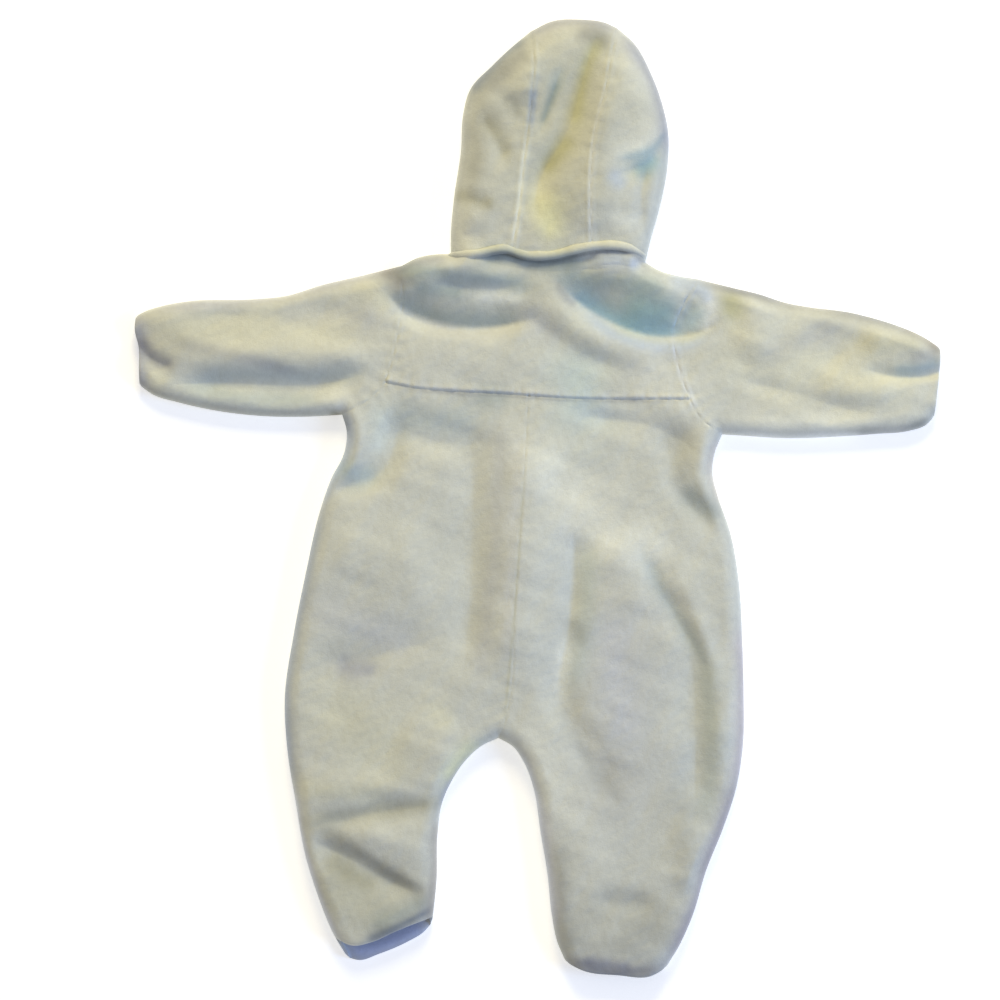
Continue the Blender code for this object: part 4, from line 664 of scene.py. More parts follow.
grid = patch(chain(along(shoulder_left, crowd(SHOULDER_CELLS)), back_neck,
                   along(shoulder_right[::-1], crowd(SHOULDER_CELLS))),
             chain(yoke_seam_left, yoke_seam_right), yoke_armhole_left, yoke_armhole_right)
side = np.ones(grid.shape[:2])
side[0, :SHOULDER_CELLS + 1] = 0
side[0, -SHOULDER_CELLS - 1:] = 0
neck_marks = marks(grid.shape[1], SHOULDER_CELLS, grid.shape[1] - SHOULDER_CELLS)
yoke = sew("yoke_cloth", grid, side, [("top", neck_marks), ("bottom", marks(grid.shape[1])),
                                      ("left", marks(len(grid))), ("right", marks(len(grid)))],
           rim=SEAM_GAP / 2, lap=yoke_lap)


def cut_back(name, top, side_edge, inseam, hem_y, hem_points, on_left):
    """A back panel with its leg, from the yoke seam down to the leg's hem."""
    outer_edge, inner_edge = cut_at_y(side_edge, hem_y[0]), cut_at_y(inseam, hem_y[1])
    inner = chain(centre_seam, along(inner_edge, crowd(INSEAM_ROWS, end=True)))
    outer = along(outer_edge, crowd(len(inner) - 1))
    hem = smooth([outer_edge[-1], *hem_points, inner_edge[-1]])
    bottom = along(hem if on_left else hem[::-1], crowd(len(top) - 1, start=True, end=True))
    grid = patch(top, bottom, *((outer, inner) if on_left else (inner, outer)))
    outer_column, inner_column = (0, -1) if on_left else (-1, 0)
    side = np.ones(grid.shape[:2])
    side[:, outer_column] = 0
    side[CENTRE_SEAM_ROWS:, inner_column] = 0
    seams = [("top", marks(len(top))),
             ("right" if on_left else "left", marks(len(inner), 0, CENTRE_SEAM_ROWS + 1))]
    return sew(name, grid, side, seams, rim=SEAM_GAP / 2, hem=hem)


left_back = cut_back("left_back_cloth", chain(low_armhole_left, yoke_seam_left), side_left,
                     inseam_left, BACK_HEM_LEFT_Y, BACK_HEM_LEFT, True)
right_back = cut_back("right_back_cloth", chain(yoke_seam_right, low_armhole_right), side_right,
                      inseam_right, BACK_HEM_RIGHT_Y, BACK_HEM_RIGHT, False)


def new_group(name, inputs, outputs):
    """A shader node group with its inputs and outputs named."""
    group = bpy.data.node_groups.new(name, "ShaderNodeTree")
    for label, kind, value in inputs:
        socket = group.interface.new_socket(label, in_out="INPUT", socket_type=kind)
        socket.default_value = value
    for label, kind in outputs:
        group.interface.new_socket(label, in_out="OUTPUT", socket_type=kind)
    return group, group.nodes.new("NodeGroupInput"), group.nodes.new("NodeGroupOutput")


def noise(tree, vector, scale, detail, roughness=0.5):
    node = tree.nodes.new("ShaderNodeTexNoise")
    node.inputs["Scale"].default_value = scale
    node.inputs["Detail"].default_value = detail
    node.inputs["Roughness"].default_value = roughness
    tree.links.new(vector, node.inputs["Vector"])
    return node.outputs["Fac"]


def math_node(tree, operation, *values):
    node = tree.nodes.new("ShaderNodeMath")
    node.operation = operation
    for socket, value in zip(node.inputs, values):
        if isinstance(value, (int, float)):
            socket.default_value = value
        else:
            tree.links.new(value, socket)
    return node.outputs["Value"]


def mix_colour(tree, mode, factor, a, b):
    node = tree.nodes.new("ShaderNodeMix")
    node.data_type = "RGBA"
    node.blend_type = mode
    for label, value in ((0, factor), (6, a), (7, b)):
        if isinstance(value, (int, float)):
            node.inputs[label].default_value = value
        elif isinstance(value, tuple):
            node.inputs[label].default_value = (*value, 1.0)
        else:
            tree.links.new(value, node.inputs[label])
    return node.outputs[2]


# The pile: pebbled clumps a few millimetres across with short fibres on them.
pile, given, made = new_group(
    "fleece_pile",
    [("Cloth", "NodeSocketColor", (1, 1, 1, 1)), ("Shade", "NodeSocketColor", (1, 1, 1, 1)),
     ("Clumps per metre", "NodeSocketFloat", 240.0)],
    [("Color", "NodeSocketColor"), ("Height", "NodeSocketFloat"),
     ("Roughness", "NodeSocketFloat")])
on_piece = pile.nodes.new("ShaderNodeTexCoord").outputs["Object"]
clumps = noise(pile, on_piece, 240.0, 3.0, 0.6)
pile.links.new(given.outputs["Clumps per metre"], clumps.node.inputs["Scale"])
fibres = noise(pile, on_piece, 1150.0, 2.0, 0.7)
blotches = noise(pile, on_piece, 46.0, 2.0)
depth = math_node(pile, "ADD", math_node(pile, "MULTIPLY", clumps, 0.6),
                  math_node(pile, "MULTIPLY", fibres, 0.4))
# Painted shade: the low parts of the pile take the darker Shade colour, the clumps' tops the
# cloth's.
pale = math_node(pile, "MULTIPLY_ADD", depth, 1.5, -0.25)
pale.node.use_clamp = True
mottled = mix_colour(pile, "MIX", pale, given.outputs["Shade"], given.outputs["Cloth"])
patchy = math_node(pile, "MULTIPLY_ADD", blotches, 0.22, 0.89)
spread = pile.nodes.new("ShaderNodeVectorMath")
spread.operation = "SCALE"
pile.links.new(mottled, spread.inputs[0])
pile.links.new(patchy, spread.inputs["Scale"])
pile.links.new(spread.outputs["Vector"], made.inputs["Color"])
pile.links.new(depth, made.inputs["Height"])
rough = math_node(pile, "MULTIPLY_ADD", depth, 0.12, 0.85)
pile.links.new(rough, made.inputs["Roughness"])


def new_material(name):
    material = bpy.data.materials.new(name)
    material.use_nodes = True
    tree = material.node_tree
    return material, tree, tree.nodes["Principled BSDF"]


fleece, tree, shader = new_material("cream_fleece")
shader.inputs["Sheen Weight"].default_value = 0.25
shader.inputs["Sheen Roughness"].default_value = 0.6
shader.inputs["Specular IOR Level"].default_value = 0.15
# The points' colour: the cloth's, with painted shade and painted light.
tint = tree.nodes.new("ShaderNodeAttribute")
tint.attribute_name = "cloth_colour_painted_light"
placed = tree.nodes.new("ShaderNodeGroup")
placed.node_tree = pile
placed.inputs["Clumps per metre"].default_value = 240.0
tree.links.new(tint.outputs["Color"], placed.inputs["Cloth"])
# The Shade colour is the cloth's darkened, painted shade for the low parts of the pile.
shaded = mix_colour(tree, "MULTIPLY", 1.0, tint.outputs["Color"], (0.80, 0.80, 0.80))
tree.links.new(shaded, placed.inputs["Shade"])
tree.links.new(placed.outputs["Color"], shader.inputs["Base Color"])
tree.links.new(placed.outputs["Roughness"], shader.inputs["Roughness"])
bump = tree.nodes.new("ShaderNodeBump")
bump.inputs["Strength"].default_value = 0.5
bump.inputs["Distance"].default_value = 0.0011
tree.links.new(placed.outputs["Height"], bump.inputs["Height"])
tree.links.new(bump.outputs["Normal"], shader.inputs["Normal"])

# Painted shade and painted light: lines along the creases, hollows and edges darken the
# cloth where shade falls and lighten it where light falls, in the lamps' cool and warm tints.
# The tints, each about as light as plain cloth:
PLAIN, HAZE, COOL = (1.00, 1.00, 1.00), (0.98, 0.99, 1.06), (0.95, 1.01, 1.07)
BLUE, SKY, DEEP = (0.91, 1.02, 1.12), (0.90, 0.99, 1.27), (0.76, 1.05, 1.29)
TEAL, VIOLET, MAUVE = (0.82, 1.07, 1.12), (0.96, 0.98, 1.18), (1.05, 0.96, 1.06)
ROSE, WARM, STRAW = (1.07, 0.98, 0.96), (1.03, 1.01, 0.92), (1.05, 1.03, 0.78)
INK = (0.82, 0.94, 1.59)
CLOTH_COLOUR = (0.712, 0.721, 0.629)
# Columns: how light, tint, widths to the left and right of the line as it runs, the line.
PAINTED_SHADE_AND_LIGHT = [
    # shoulders and neck
    (0.70, BLUE, 8, 9, [(-124, 92), (-92, 96), (-60, 94), (-30, 93), (0, 91)]),
    (0.60, BLUE, 14, 3, [(-118, 78), (-103, 68.5), (-85, 61.5), (-60, 57.5), (-36, 58), (-8, 63)]),
    (0.95, HAZE, 5, 6, [(-92, 58), (-66, 50), (-40, 49), (-12, 56)]),
    (0.65, ROSE, 10, 10, [(-128, 100), (-112, 92), (-104, 78)]),
    (0.95, HAZE, 7, 7, [(-100, 104), (-76, 103), (-50, 100)]),
    (0.80, HAZE, 6, 6, [(-114, 97), (-92, 104), (-72, 109)]),
    (0.70, BLUE, 9, 9, [(16, 98), (50, 97), (84, 96), (108, 92)]),
    (0.75, DEEP, 12, 3, [(26, 89), (50, 74), (78, 62.5), (100, 59), (122, 61)]),
    (0.90, SKY, 5, 6, [(40, 72), (66, 55), (98, 48), (128, 52), (146, 62)]),
    (0.80, TEAL, 14, 14, [(66, 80), (96, 76), (118, 76)]),
    (1.10, BLUE, 8, 8, [(120, 64), (128, 72), (132, 84)]),
    (0.85, PLAIN, 6, 6, [(125, 92), (123, 76), (119, 64)]),
    (1.25, HAZE, 5, 5, [(141, 92), (141, 76), (136, 62)]),
    (0.95, SKY, 8, 8, [(104, 104), (128, 98), (142, 88)]),
    (0.60, BLUE, 7, 7, [(-48, 108), (-24, 112), (0, 108), (20, 110), (42, 114)]),
    (0.85, SKY, 7, 7, [(40, 112), (62, 114), (84, 112)]),
    (1.10, WARM, 3, 3, [(-60, 112.5), (-30, 117.5), (-4, 114.6), (20, 118), (50, 125.8),
                        (78, 123.5)]),
    (0.60, HAZE, 2, 1.8, [(-48, 109.6), (-40, 111.6), (-23, 114), (-15, 111.4), (-2, 109.4),
                          (15, 111), (31.5, 116.2), (48, 120), (67, 121.4), (82, 117),
                          (86, 112.5)]),
    (1.30, PLAIN, 7, 4, [(-50, 79), (-30, 78), (-8, 79)]),
    (0.70, BLUE, 7, 7, [(-98, 82), (-76, 82), (-56, 80)]),
    (0.75, HAZE, 4, 4, [(16, 94), (24, 84), (34, 76)]),
    (1.10, HAZE, 2.4, 2.4, [(126, 90), (117, 78), (113, 60), (116, 40), (124, 20), (134, 0)]),
    (0.95, HAZE, 2.2, 2.2, [(-110, 8.6), (-70, 4.4), (-30, 4.2), (20, 5.4), (70, 7), (122, 9)]),
    (0.90, HAZE, 10, 12, [(-14, 74), (6, 60), (24, 46)]),
    (1.15, PLAIN, 14, 14, [(84, 30), (108, 18), (140, -2)]),
    (1.00, BLUE, 24, 24, [(30, 46), (40, 12), (44, -30)]),
    (0.80, STRAW, 9, 9, [(150, 96), (158, 84), (160, 70)]),
    (1.05, WARM, 9, 9, [(-146, 84), (-128, 76), (-116, 60)]),
    # hood
    (0.85, WARM, 60, 60, [(12, 110), (12, 200), (12, 310)]),
    (0.50, SKY, 7, 7, [(-62, 240), (-52, 256), (-36, 276), (-20, 290)]),
    (0.65, HAZE, 8, 8, [(-48, 242), (-34, 262), (-16, 278)]),
    (0.70, VIOLET, 7, 7, [(-20, 292), (20, 305), (54, 299)]),
    (0.65, HAZE, 7, 7, [(18, 294), (34, 292), (50, 286)]),
    (0.70, VIOLET, 7, 7, [(56, 296), (78, 270), (94, 236), (99, 200)]),
    (0.90, STRAW, 6, 6, [(42, 292), (32, 273), (27, 247), (23, 218)]),
    (0.80, STRAW, 7, 7, [(22, 212), (12, 197), (1, 180)]),
    (1.25, STRAW, 13, 11, [(0, 168), (6, 146), (14, 126)]),
    (0.95, PLAIN, 7, 7, [(50, 270), (46, 240), (44, 214), (42, 190)]),
    (0.75, DEEP, 8, 8, [(92, 202), (82, 191), (70, 188)]),
    (0.95, SKY, 7, 7, [(54, 186), (60, 178), (68, 172)]),
    (1.30, PLAIN, 7, 7, [(54, 150), (66, 147), (78, 141)]),
    (0.75, SKY, 3.5, 3, [(-11, 246), (-11, 236), (-12, 216)]),
    (0.65, BLUE, 3.6, 3.6, [(8, 254), (3, 238), (-3, 219)]),
    (0.95, COOL, 6, 6, [(12, 265), (8, 256), (5, 244)]),
    (0.80, WARM, 6, 6, [(-50, 222), (-36, 207), (-28, 190)]),
    (0.80, PLAIN, 10, 10, [(-58, 222), (-54, 196), (-56, 168)]),
    (0.70, PLAIN, 5, 5, [(-34, 242), (-26, 234), (-19, 222)]),
    (1.30, PLAIN, 2.6, 2.6, [(-13.5, 205), (-15.5, 185), (-17, 150), (-19.5, 120)]),
    (1.15, HAZE, 2.6, 2.6, [(47, 255), (40.5, 218), (38.5, 185), (39.5, 160), (43, 126)]),
    (0.80, BLUE, 3.2, 3.2, [(62, 196), (75, 199), (87, 205), (97, 220)]),
    (1.25, PLAIN, 8, 8, [(56, 196), (72, 202), (84, 212)]),
    (0.75, WARM, 6, 5, [(-70, 160), (-50, 155), (-34, 151)]),
    (0.85, PLAIN, 9, 9, [(-62, 246), (-48, 230), (-34, 218)]),
    # left sleeve
    (1.00, WARM, 24, 20, [(-306, 36), (-220, 44), (-130, 54)]),
    (0.85, COOL, 9, 7, [(-272, -1), (-242, 4), (-209, 6), (-184, 6), (-158, 9), (-130, 15)]),
    (0.80, PLAIN, 3.5, 3.5, [(-310, -9), (-282, -19), (-249, -24), (-212, -26), (-152, -22)]),
    (0.80, HAZE, 6, 6, [(-290, 26), (-248, 23), (-212, 15), (-184, 9)]),
    (0.55, WARM, 4, 4, [(-158, -20), (-149, -26), (-144, -38)]),
    (0.75, VIOLET, 7, 7, [(-316, 50), (-314, 20), (-309, -14)]),
    (0.90, PLAIN, 12, 12, [(-312, 44), (-290, 36), (-264, 26)]),
    (0.60, VIOLET, 6, 5, [(-314, 30), (-306, 18), (-298, 12), (-284, 9)]),
    (1.15, WARM, 6, 6, [(-306, -1), (-298, -3), (-288, -4)]),
    (0.95, HAZE, 12, 9, [(-206, 54), (-166, 56), (-120, 54)]),
    (0.90, COOL, 8, 8, [(-280, -8), (-220, -14), (-165, -12)]),
    (0.90, VIOLET, 6, 6, [(-112, 98), (-170, 81), (-225, 66), (-308, 54)]),
    # right sleeve
    (1.10, WARM, 30, 30, [(140, 50), (230, 40), (320, 30)]),
    (0.80, BLUE, 5, 5, [(290, 40), (308, 42.5), (328, 50)]),
    (0.95, PLAIN, 3, 2.5, [(276, 38), (292, 38), (308, 38.5), (326, 43)]),
    (0.90, HAZE, 10, 10, [(180, 44), (212, 58), (246, 72)]),
    (0.90, WARM, 9, 9, [(256, 60), (288, 62), (314, 62)]),
    (0.55, ROSE, 6, 6, [(328, 58), (318, 70), (296, 79)]),
    (0.75, HAZE, 6, 6, [(300, 50), (316, 54), (330, 58)]),
    (1.20, PLAIN, 8, 8, [(170, -8), (230, -5), (290, 1)]),
    (0.60, PLAIN, 5, 5, [(262, -12), (300, -8), (324, 3)]),
    (1.15, HAZE, 3, 3, [(164, -17), (205, -18), (250, -14), (285, -10), (316, -4)]),
    (0.50, VIOLET, 6, 6, [(132, 103), (190, 94), (265, 85), (305, 75)]),
    # underarms and under the yoke
    (0.85, BLUE, 9, 9, [(-150, -60), (-132, -70), (-116, -64)]),
    (1.30, PLAIN, 8, 8, [(-158, 2), (-148, -8), (-140, -16)]),
    (1.15, COOL, 9, 9, [(-118, -12), (-116, -34), (-120, -54)]),
    (0.95, SKY, 6, 6, [(-146, -18), (-141, -44), (-148, -64), (-162, -94)]),
    (0.90, COOL, 14, 14, [(-116, -18), (-80, -22), (-36, -20)]),
    (0.75, HAZE, 1.6, 1.6, [(-113, 4.4), (-92, 1.4), (-62, 0.5), (-30, 1), (0, 1), (30, 0.8),
                            (58, 1.6), (96, 3.8), (127, 5.8)]),
    (0.80, COOL, 9, 9, [(-46, -2), (-30, -1), (-12, -3)]),
    (0.85, PLAIN, 10, 9, [(116, -12), (126, -38), (128, -62)]),
    (0.95, ROSE, 6, 6, [(156, -22), (152, -44), (160, -74)]),
    (0.70, COOL, 9, 9, [(126, -62), (140, -74), (160, -86)]),
    # body
    (0.80, SKY, 7, 7, [(-160, -90), (-172, -170), (-180, -250), (-170, -320)]),
    (0.95, HAZE, 16, 16, [(-168, -172), (-120, -190), (-76, -204)]),
    (0.85, COOL, 6, 6, [(100, -120), (114, -144), (134, -172), (156, -204)]),
    (0.90, COOL, 9, 9, [(154, -196), (160, -240), (164, -290), (160, -330)]),
    (1.00, COOL, 9, 9, [(54, -112), (57, -150), (56, -190), (50, -230)]),
    (0.75, PLAIN, 8, 8, [(42, -172), (50, -184), (58, -196)]),
    (0.90, WARM, 1.3, 1.3, [(0, -60), (-0.5, -170), (-3, -262)]),
    (0.95, HAZE, 34, 34, [(84, -150), (92, -250), (92, -340)]),
    (1.25, PLAIN, 22, 22, [(4, -40), (34, -68), (66, -106), (126, -112)]),
    (0.95, HAZE, 7, 7, [(-21, -20), (-19, -120), (-26, -230)]),
    (1.05, HAZE, 6, 6, [(-6, -30), (-5, -120), (-5, -210)]),
    (1.20, PLAIN, 6, 6, [(40, -190), (42, -232), (58, -262), (80, -290)]),
    (0.80, PLAIN, 7, 7, [(40, -238), (54, -264), (70, -289), (98, -320)]),
    (1.00, WARM, 34, 30, [(-160, -236), (-112, -280), (-66, -306)]),
    (0.90, PLAIN, 12, 10, [(-152, -206), (-130, -212), (-102, -214)]),
    (0.70, VIOLET, 8, 8, [(-142, -222), (-124, -225), (-106, -223)]),
    (1.05, WARM, 9, 9, [(-66, -246), (-54, -258), (-40, -268)]),
    (1.05, HAZE, 14, 14, [(76, -170), (84, -220), (96, -270)]),
    (0.85, MAUVE, 7, 7, [(182, -170), (188, -250), (186, -300)]),
    # left leg
    (1.00, WARM, 9, 8, [(-172, -320), (-132, -324), (-92, -322)]),
    (1.20, STRAW, 8, 8, [(-22, -276), (-36, -292), (-48, -310)]),
    (0.75, WARM, 7, 8, [(-158, -349), (-130, -342), (-96, -335), (-48, -326)]),
    (0.60, PLAIN, 6, 7, [(-146, -354), (-128, -361), (-112, -370), (-88, -385), (-58, -399)]),
    (0.70, WARM, 10, 10, [(-142, -374), (-118, -388), (-96, -398)]),
    (0.85, WARM, 26, 26, [(-150, -392), (-106, -412), (-70, -416)]),
    (0.75, COOL, 9, 8, [(-100, -430), (-78, -419), (-54, -404)]),
    (0.50, SKY, 4, 4, [(-104, -441), (-84, -431), (-68, -422), (-52, -413)]),
    (0.70, VIOLET, 3.5, 3.5, [(-10, -276), (-32, -293), (-44, -314), (-49, -332)]),
    (0.70, ROSE, 6, 6, [(-50, -340), (-50, -390), (-51, -426)]),
    (1.15, VIOLET, 4, 4, [(-172, -316), (-156, -376), (-126, -444)]),
    # right leg
    (1.10, VIOLET, 7, 7, [(4, -278), (26, -322), (40, -380), (48, -428)]),
    (1.15, PLAIN, 12, 12, [(14, -252), (34, -292), (56, -330), (80, -356)]),
    (0.75, PLAIN, 8, 8, [(47, -352), (52, -400), (60, -442)]),
    (0.50, VIOLET, 6, 6, [(56, -447), (90, -454), (138, -449)]),
    (1.30, PLAIN, 8, 8, [(72, -420), (86, -422), (102, -420)]),
    (0.65, VIOLET, 5, 5, [(70, -446), (90, -447.5), (112, -449)]),
    (0.75, PLAIN, 20, 20, [(58, -414), (100, -424), (146, -404)]),
    (0.80, PLAIN, 9, 8, [(80, -392), (100, -394), (122, -393)]),
    (0.70, MAUVE, 7, 7, [(188, -292), (170, -352), (156, -408), (140, -444)]),
    (0.85, PLAIN, 12, 12, [(132, -294), (146, -330), (152, -366)]),
]
# Painted shade on the strip of the left front that shows below the back's hem, with a painted
# highlight along the hem.
FRONT_PAINTED_SHADE_AND_LIGHT = [
    (0.60, INK, 14, 14, [(-124, -452), (-92, -444), (-52, -420)]),
    (1.30, PLAIN, 4, 4, [(-114, -452), (-92, -448), (-70, -438), (-54, -428)]),
]
CAST_REACH, CAST_WAVE, CAST_WAVE_LENGTH = 2.6, 0.12, 9.0
# A cast fades out over its ends: over so many of its widths, but within these shares of
# its length.
CAST_END_WIDTHS, CAST_END_LEAST, CAST_END_MOST = 1.2, 0.16, 0.4
# Painted light and shade at the turned side edges: a painted highlight right on the edge and
# painted shade just inside it.
EDGE_PAINTED_HIGHLIGHT, EDGE_PAINTED_HIGHLIGHT_WIDTH = 0.10, 1.3
EDGE_SHADE, EDGE_SHADE_AT, EDGE_SHADE_WIDTH = 0.07, 3.6, 2.4


def painted_light_amount(xy, width_left, width_right, points):
    """How strongly a line of painted shade or light shows: 1 on its line, fading to its sides and
    its two ends.
    """
    line = smooth(points)
    reach = CAST_REACH * max(width_left, width_right)
    near = beside(xy, line, reach)
    width = np.where(near.left, width_left, width_right)
    width = width * (1 + CAST_WAVE * np.sin(near.travelled / CAST_WAVE_LENGTH))
    whole = lengths(line)[-1]
    fade = np.clip(CAST_END_WIDTHS * width, CAST_END_LEAST * whole, CAST_END_MOST * whole)
    to_end = np.minimum(near.travelled, whole - near.travelled)
    ends = rise_between(to_end / fade, -0.5, 1.0)
    return ends * np.exp(-(near.gap / width) ** 2) * (near.gap < reach)


def paint(piece):
    """Each point's colour: the cloth's, with painted shade and painted light at its edges and
    along its lines.
    """
    count = len(piece.data.vertices)
    flat = np.empty(count * 3)
    piece.data.vertices.foreach_get("co", flat)
    xy = flat.reshape(-1, 3)[:, :2] / MM + (MIDDLE_X, MIDDLE_Y)
    gap = away_from_edge(xy)[0]
    # Painted shade just inside the side edges and a painted highlight right on them.
    edge = 1 - EDGE_SHADE * np.exp(-((gap - EDGE_SHADE_AT) / EDGE_SHADE_WIDTH) ** 2)
    edge += EDGE_PAINTED_HIGHLIGHT * np.exp(-(gap / EDGE_PAINTED_HIGHLIGHT_WIDTH) ** 2)
    colour = np.array(CLOTH_COLOUR) * edge[:, None]
    for light, tint, width_left, width_right, points in (
            FRONT_PAINTED_SHADE_AND_LIGHT if "front" in piece.name else PAINTED_SHADE_AND_LIGHT):
        amount = painted_light_amount(xy, width_left, width_right, points)[:, None]
        colour *= 1 + amount * (light * np.array(tint) - 1)
    # The cloth's colour with its painted shade and painted light, stored on the points.
    painted_colour_layer = piece.data.color_attributes.new("cloth_colour_painted_light", "FLOAT_COLOR", "POINT")
    painted_colour_layer.data.foreach_set("color", np.column_stack([colour, np.ones(count)]).ravel())


def dress(piece, node):
    """Paint a cloth piece, give it its fleece, attach it to the garment and hide the solid it
    stands in for.
    """
    paint(piece)
    piece.data.materials.append(fleece)
    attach(piece, "garment")
    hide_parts(node)


dress(yoke, "back_yoke")
dress(left_back, "back_left")
dress(right_back, "back_right")

# ---- Fronts --------------------------------------------------------------------------------
# The same fleece, from the shoulder to the leg's hem, lying on the floor.  The fronts part
# at the zip and are sewn to each other below it.
FRONT_ARMHOLE_LEFT = [ARM_LEFT, (-96, 66), (-99, 30), (-118, 0), UNDERARM_LEFT]
FRONT_ARMHOLE_RIGHT = [ARM_RIGHT, (113, 68), (113, 32), (131, 3), UNDERARM_RIGHT]
FRONT_NECK_LEFT = [NECK_LEFT, (-54, 103), (-33, 90), (-15, 82),
                   (ZIP_X - ZIP_HALF_OPENING, NECK_FRONT_Y)]
FRONT_NECK_RIGHT = [NECK_RIGHT, (70, 104), (44, 91), (22, 82),
                    (ZIP_X + ZIP_HALF_OPENING, NECK_FRONT_Y)]
SEAM_BEND = (ZIP_X - 3.0, -255.0)
FRONT_ARMHOLE_CELLS, FRONT_NECK_CELLS = 30, 18
ZIP_ROWS, ZIP_TURN_ROWS, FRONT_SEAM_ROWS, FRONT_INSEAM_ROWS = 90, 4, 14, 52
front_armhole_left = even_out(FRONT_ARMHOLE_LEFT, FRONT_ARMHOLE_CELLS)
front_armhole_right = even_out(FRONT_ARMHOLE_RIGHT, FRONT_ARMHOLE_CELLS)
front_neck_left = along(smooth(FRONT_NECK_LEFT), crowd(FRONT_NECK_CELLS, start=True))
front_neck_right = along(smooth(FRONT_NECK_RIGHT), crowd(FRONT_NECK_CELLS, start=True))


def cut_front(name, shoulder, neck, armhole, side_edge, inseam, hem, zip_side):
    """One front with its leg, from the shoulder down past the zip to the leg's hem."""
    zip_x = ZIP_X + zip_side * ZIP_HALF_OPENING
    zip_run = np.array([(zip_x, NECK_FRONT_Y), (zip_x, ZIP_BOTTOM)])
    turn = np.array([(zip_x, ZIP_BOTTOM), (ZIP_X, ZIP_SEAM_START)])
    seam_run = np.array([(ZIP_X, ZIP_SEAM_START), SEAM_BEND, CROTCH])
    middle = chain(along(zip_run, crowd(ZIP_ROWS)), along(turn, crowd(ZIP_TURN_ROWS)),
                   along(seam_run, crowd(FRONT_SEAM_ROWS)),
                   along(inseam, crowd(FRONT_INSEAM_ROWS)))
    crotch_row = ZIP_ROWS + ZIP_TURN_ROWS + FRONT_SEAM_ROWS
    outer = chain(armhole, along(side_edge, crowd(len(middle) - len(armhole))))
    top = chain(along(shoulder, crowd(SHOULDER_CELLS)), neck)
    grid = patch(top, even_out(hem, len(top) - 1), outer, middle)
    rows, columns = grid.shape[:2]
    side = -np.ones((rows, columns))
    side[FRONT_ARMHOLE_CELLS:, 0] = 0
    side[crotch_row:, -1] = 0
    side[0, :SHOULDER_CELLS + 1] = 0
    seams = [("top", marks(columns, SHOULDER_CELLS)),
             ("left", marks(rows, 0, FRONT_ARMHOLE_CELLS + 1)),
             ("right", marks(rows, ZIP_ROWS + ZIP_TURN_ROWS, crotch_row + 1))]
    return sew(name, grid, side, seams, rim=-SEAM_GAP / 2, hem=smooth(hem))


left_front = cut_front("left_front_cloth", shoulder_left, front_neck_left,
                       front_armhole_left, side_left, inseam_left, HEM_LEFT, -1)
right_front = cut_front("right_front_cloth", shoulder_right, front_neck_right,
                        front_armhole_right, side_right, inseam_right, HEM_RIGHT, 1)
dress(left_front, "front_left")
dress(right_front, "front_right")

# ---- Sleeves -------------------------------------------------------------------------------
# Each is one piece of fleece closed under the arm and set into the armhole.  Its cuff is a
# plain turned hem.
SLEEVE_ROWS = 110


def cut_sleeve(name, back_armhole, front_armhole, top_edge, under_edge, cuff):
    """Each row runs over the arm from the top edge and back under it."""
    over, under = len(back_armhole) - 1, len(front_armhole) - 1
    upper = along(top_edge, crowd(SLEEVE_ROWS, True, True))
    lower = along(under_edge, crowd(SLEEVE_ROWS, True, True))
    back = patch(back_armhole, even_out(cuff, over), upper, lower)
    front = patch(front_armhole, even_out(cuff, under), upper, lower)
    grid = np.concatenate([back, front[:, -2:0:-1]], axis=1)
    side = np.ones(grid.shape[:2])
    side[:, over + 1:] = -1
    side[:, [0, over]] = 0
    return sew(name, grid, side, [("top", marks(grid.shape[1]))], ring=True, hem=smooth(cuff))


left_sleeve = cut_sleeve("left_sleeve_cloth", chain(yoke_armhole_left, low_armhole_left[::-1]),
                         front_armhole_left, sleeve_top_left, sleeve_under_left, CUFF_LEFT)
right_sleeve = cut_sleeve("right_sleeve_cloth", chain(yoke_armhole_right, low_armhole_right),
                          front_armhole_right, sleeve_top_right, sleeve_under_right,
                          CUFF_RIGHT)
dress(left_sleeve, "sleeve_left")
dress(right_sleeve, "sleeve_right")

# ---- Neckband and hood -----------------------------------------------------------------------
# A narrow band round the neck carries a hood of two sides and a middle strip, all fleece.
# The strip runs from the neck over the crown and under to the edge round the face.
BAND_TOP_LEFT_Y, BAND_TOP_RIGHT_Y = 116, 120
BAND_TOP_LEFT = [(-50, 115.5), (-34, 118)]
BAND_TOP_MIDDLE = [HOOD_SEAM_LEFT[0], (-8, 115.5), (10, 116), (28, 121), HOOD_SEAM_RIGHT[0]]
BAND_TOP_RIGHT = [(60, 125.5), (75, 123)]
BAND_FRONT_LEFT = [(-50, 112), (-30, 101), (-13, 94),
                   (ZIP_X - ZIP_HALF_OPENING, BAND_FRONT_Y)]
BAND_FRONT_RIGHT = [(68, 113), (42, 102), (20, 94),
                    (ZIP_X + ZIP_HALF_OPENING, BAND_FRONT_Y)]
FACE_LEFT = [BAND_FRONT_LEFT[-1], (-14, 114), (-23, 145), (-27, 185), (-24, 215)]
FACE_RIGHT = [BAND_FRONT_RIGHT[-1], (24, 114), (44, 145), (52, 185), (52, 220)]
FOREHEAD_LEFT, FOREHEAD_RIGHT = (-14, 237), (44, 241)
FOREHEAD = [FOREHEAD_LEFT, (15, 246), FOREHEAD_RIGHT]
UNDER_SEAM_LEFT = [CROWN_LEFT, (-16, 268), FOREHEAD_LEFT]
UNDER_SEAM_RIGHT = [CROWN_RIGHT, (50, 272), FOREHEAD_RIGHT]
BAND_ROWS, HOOD_ROWS, HOOD_UNDER_ROWS = 14, 100, 24

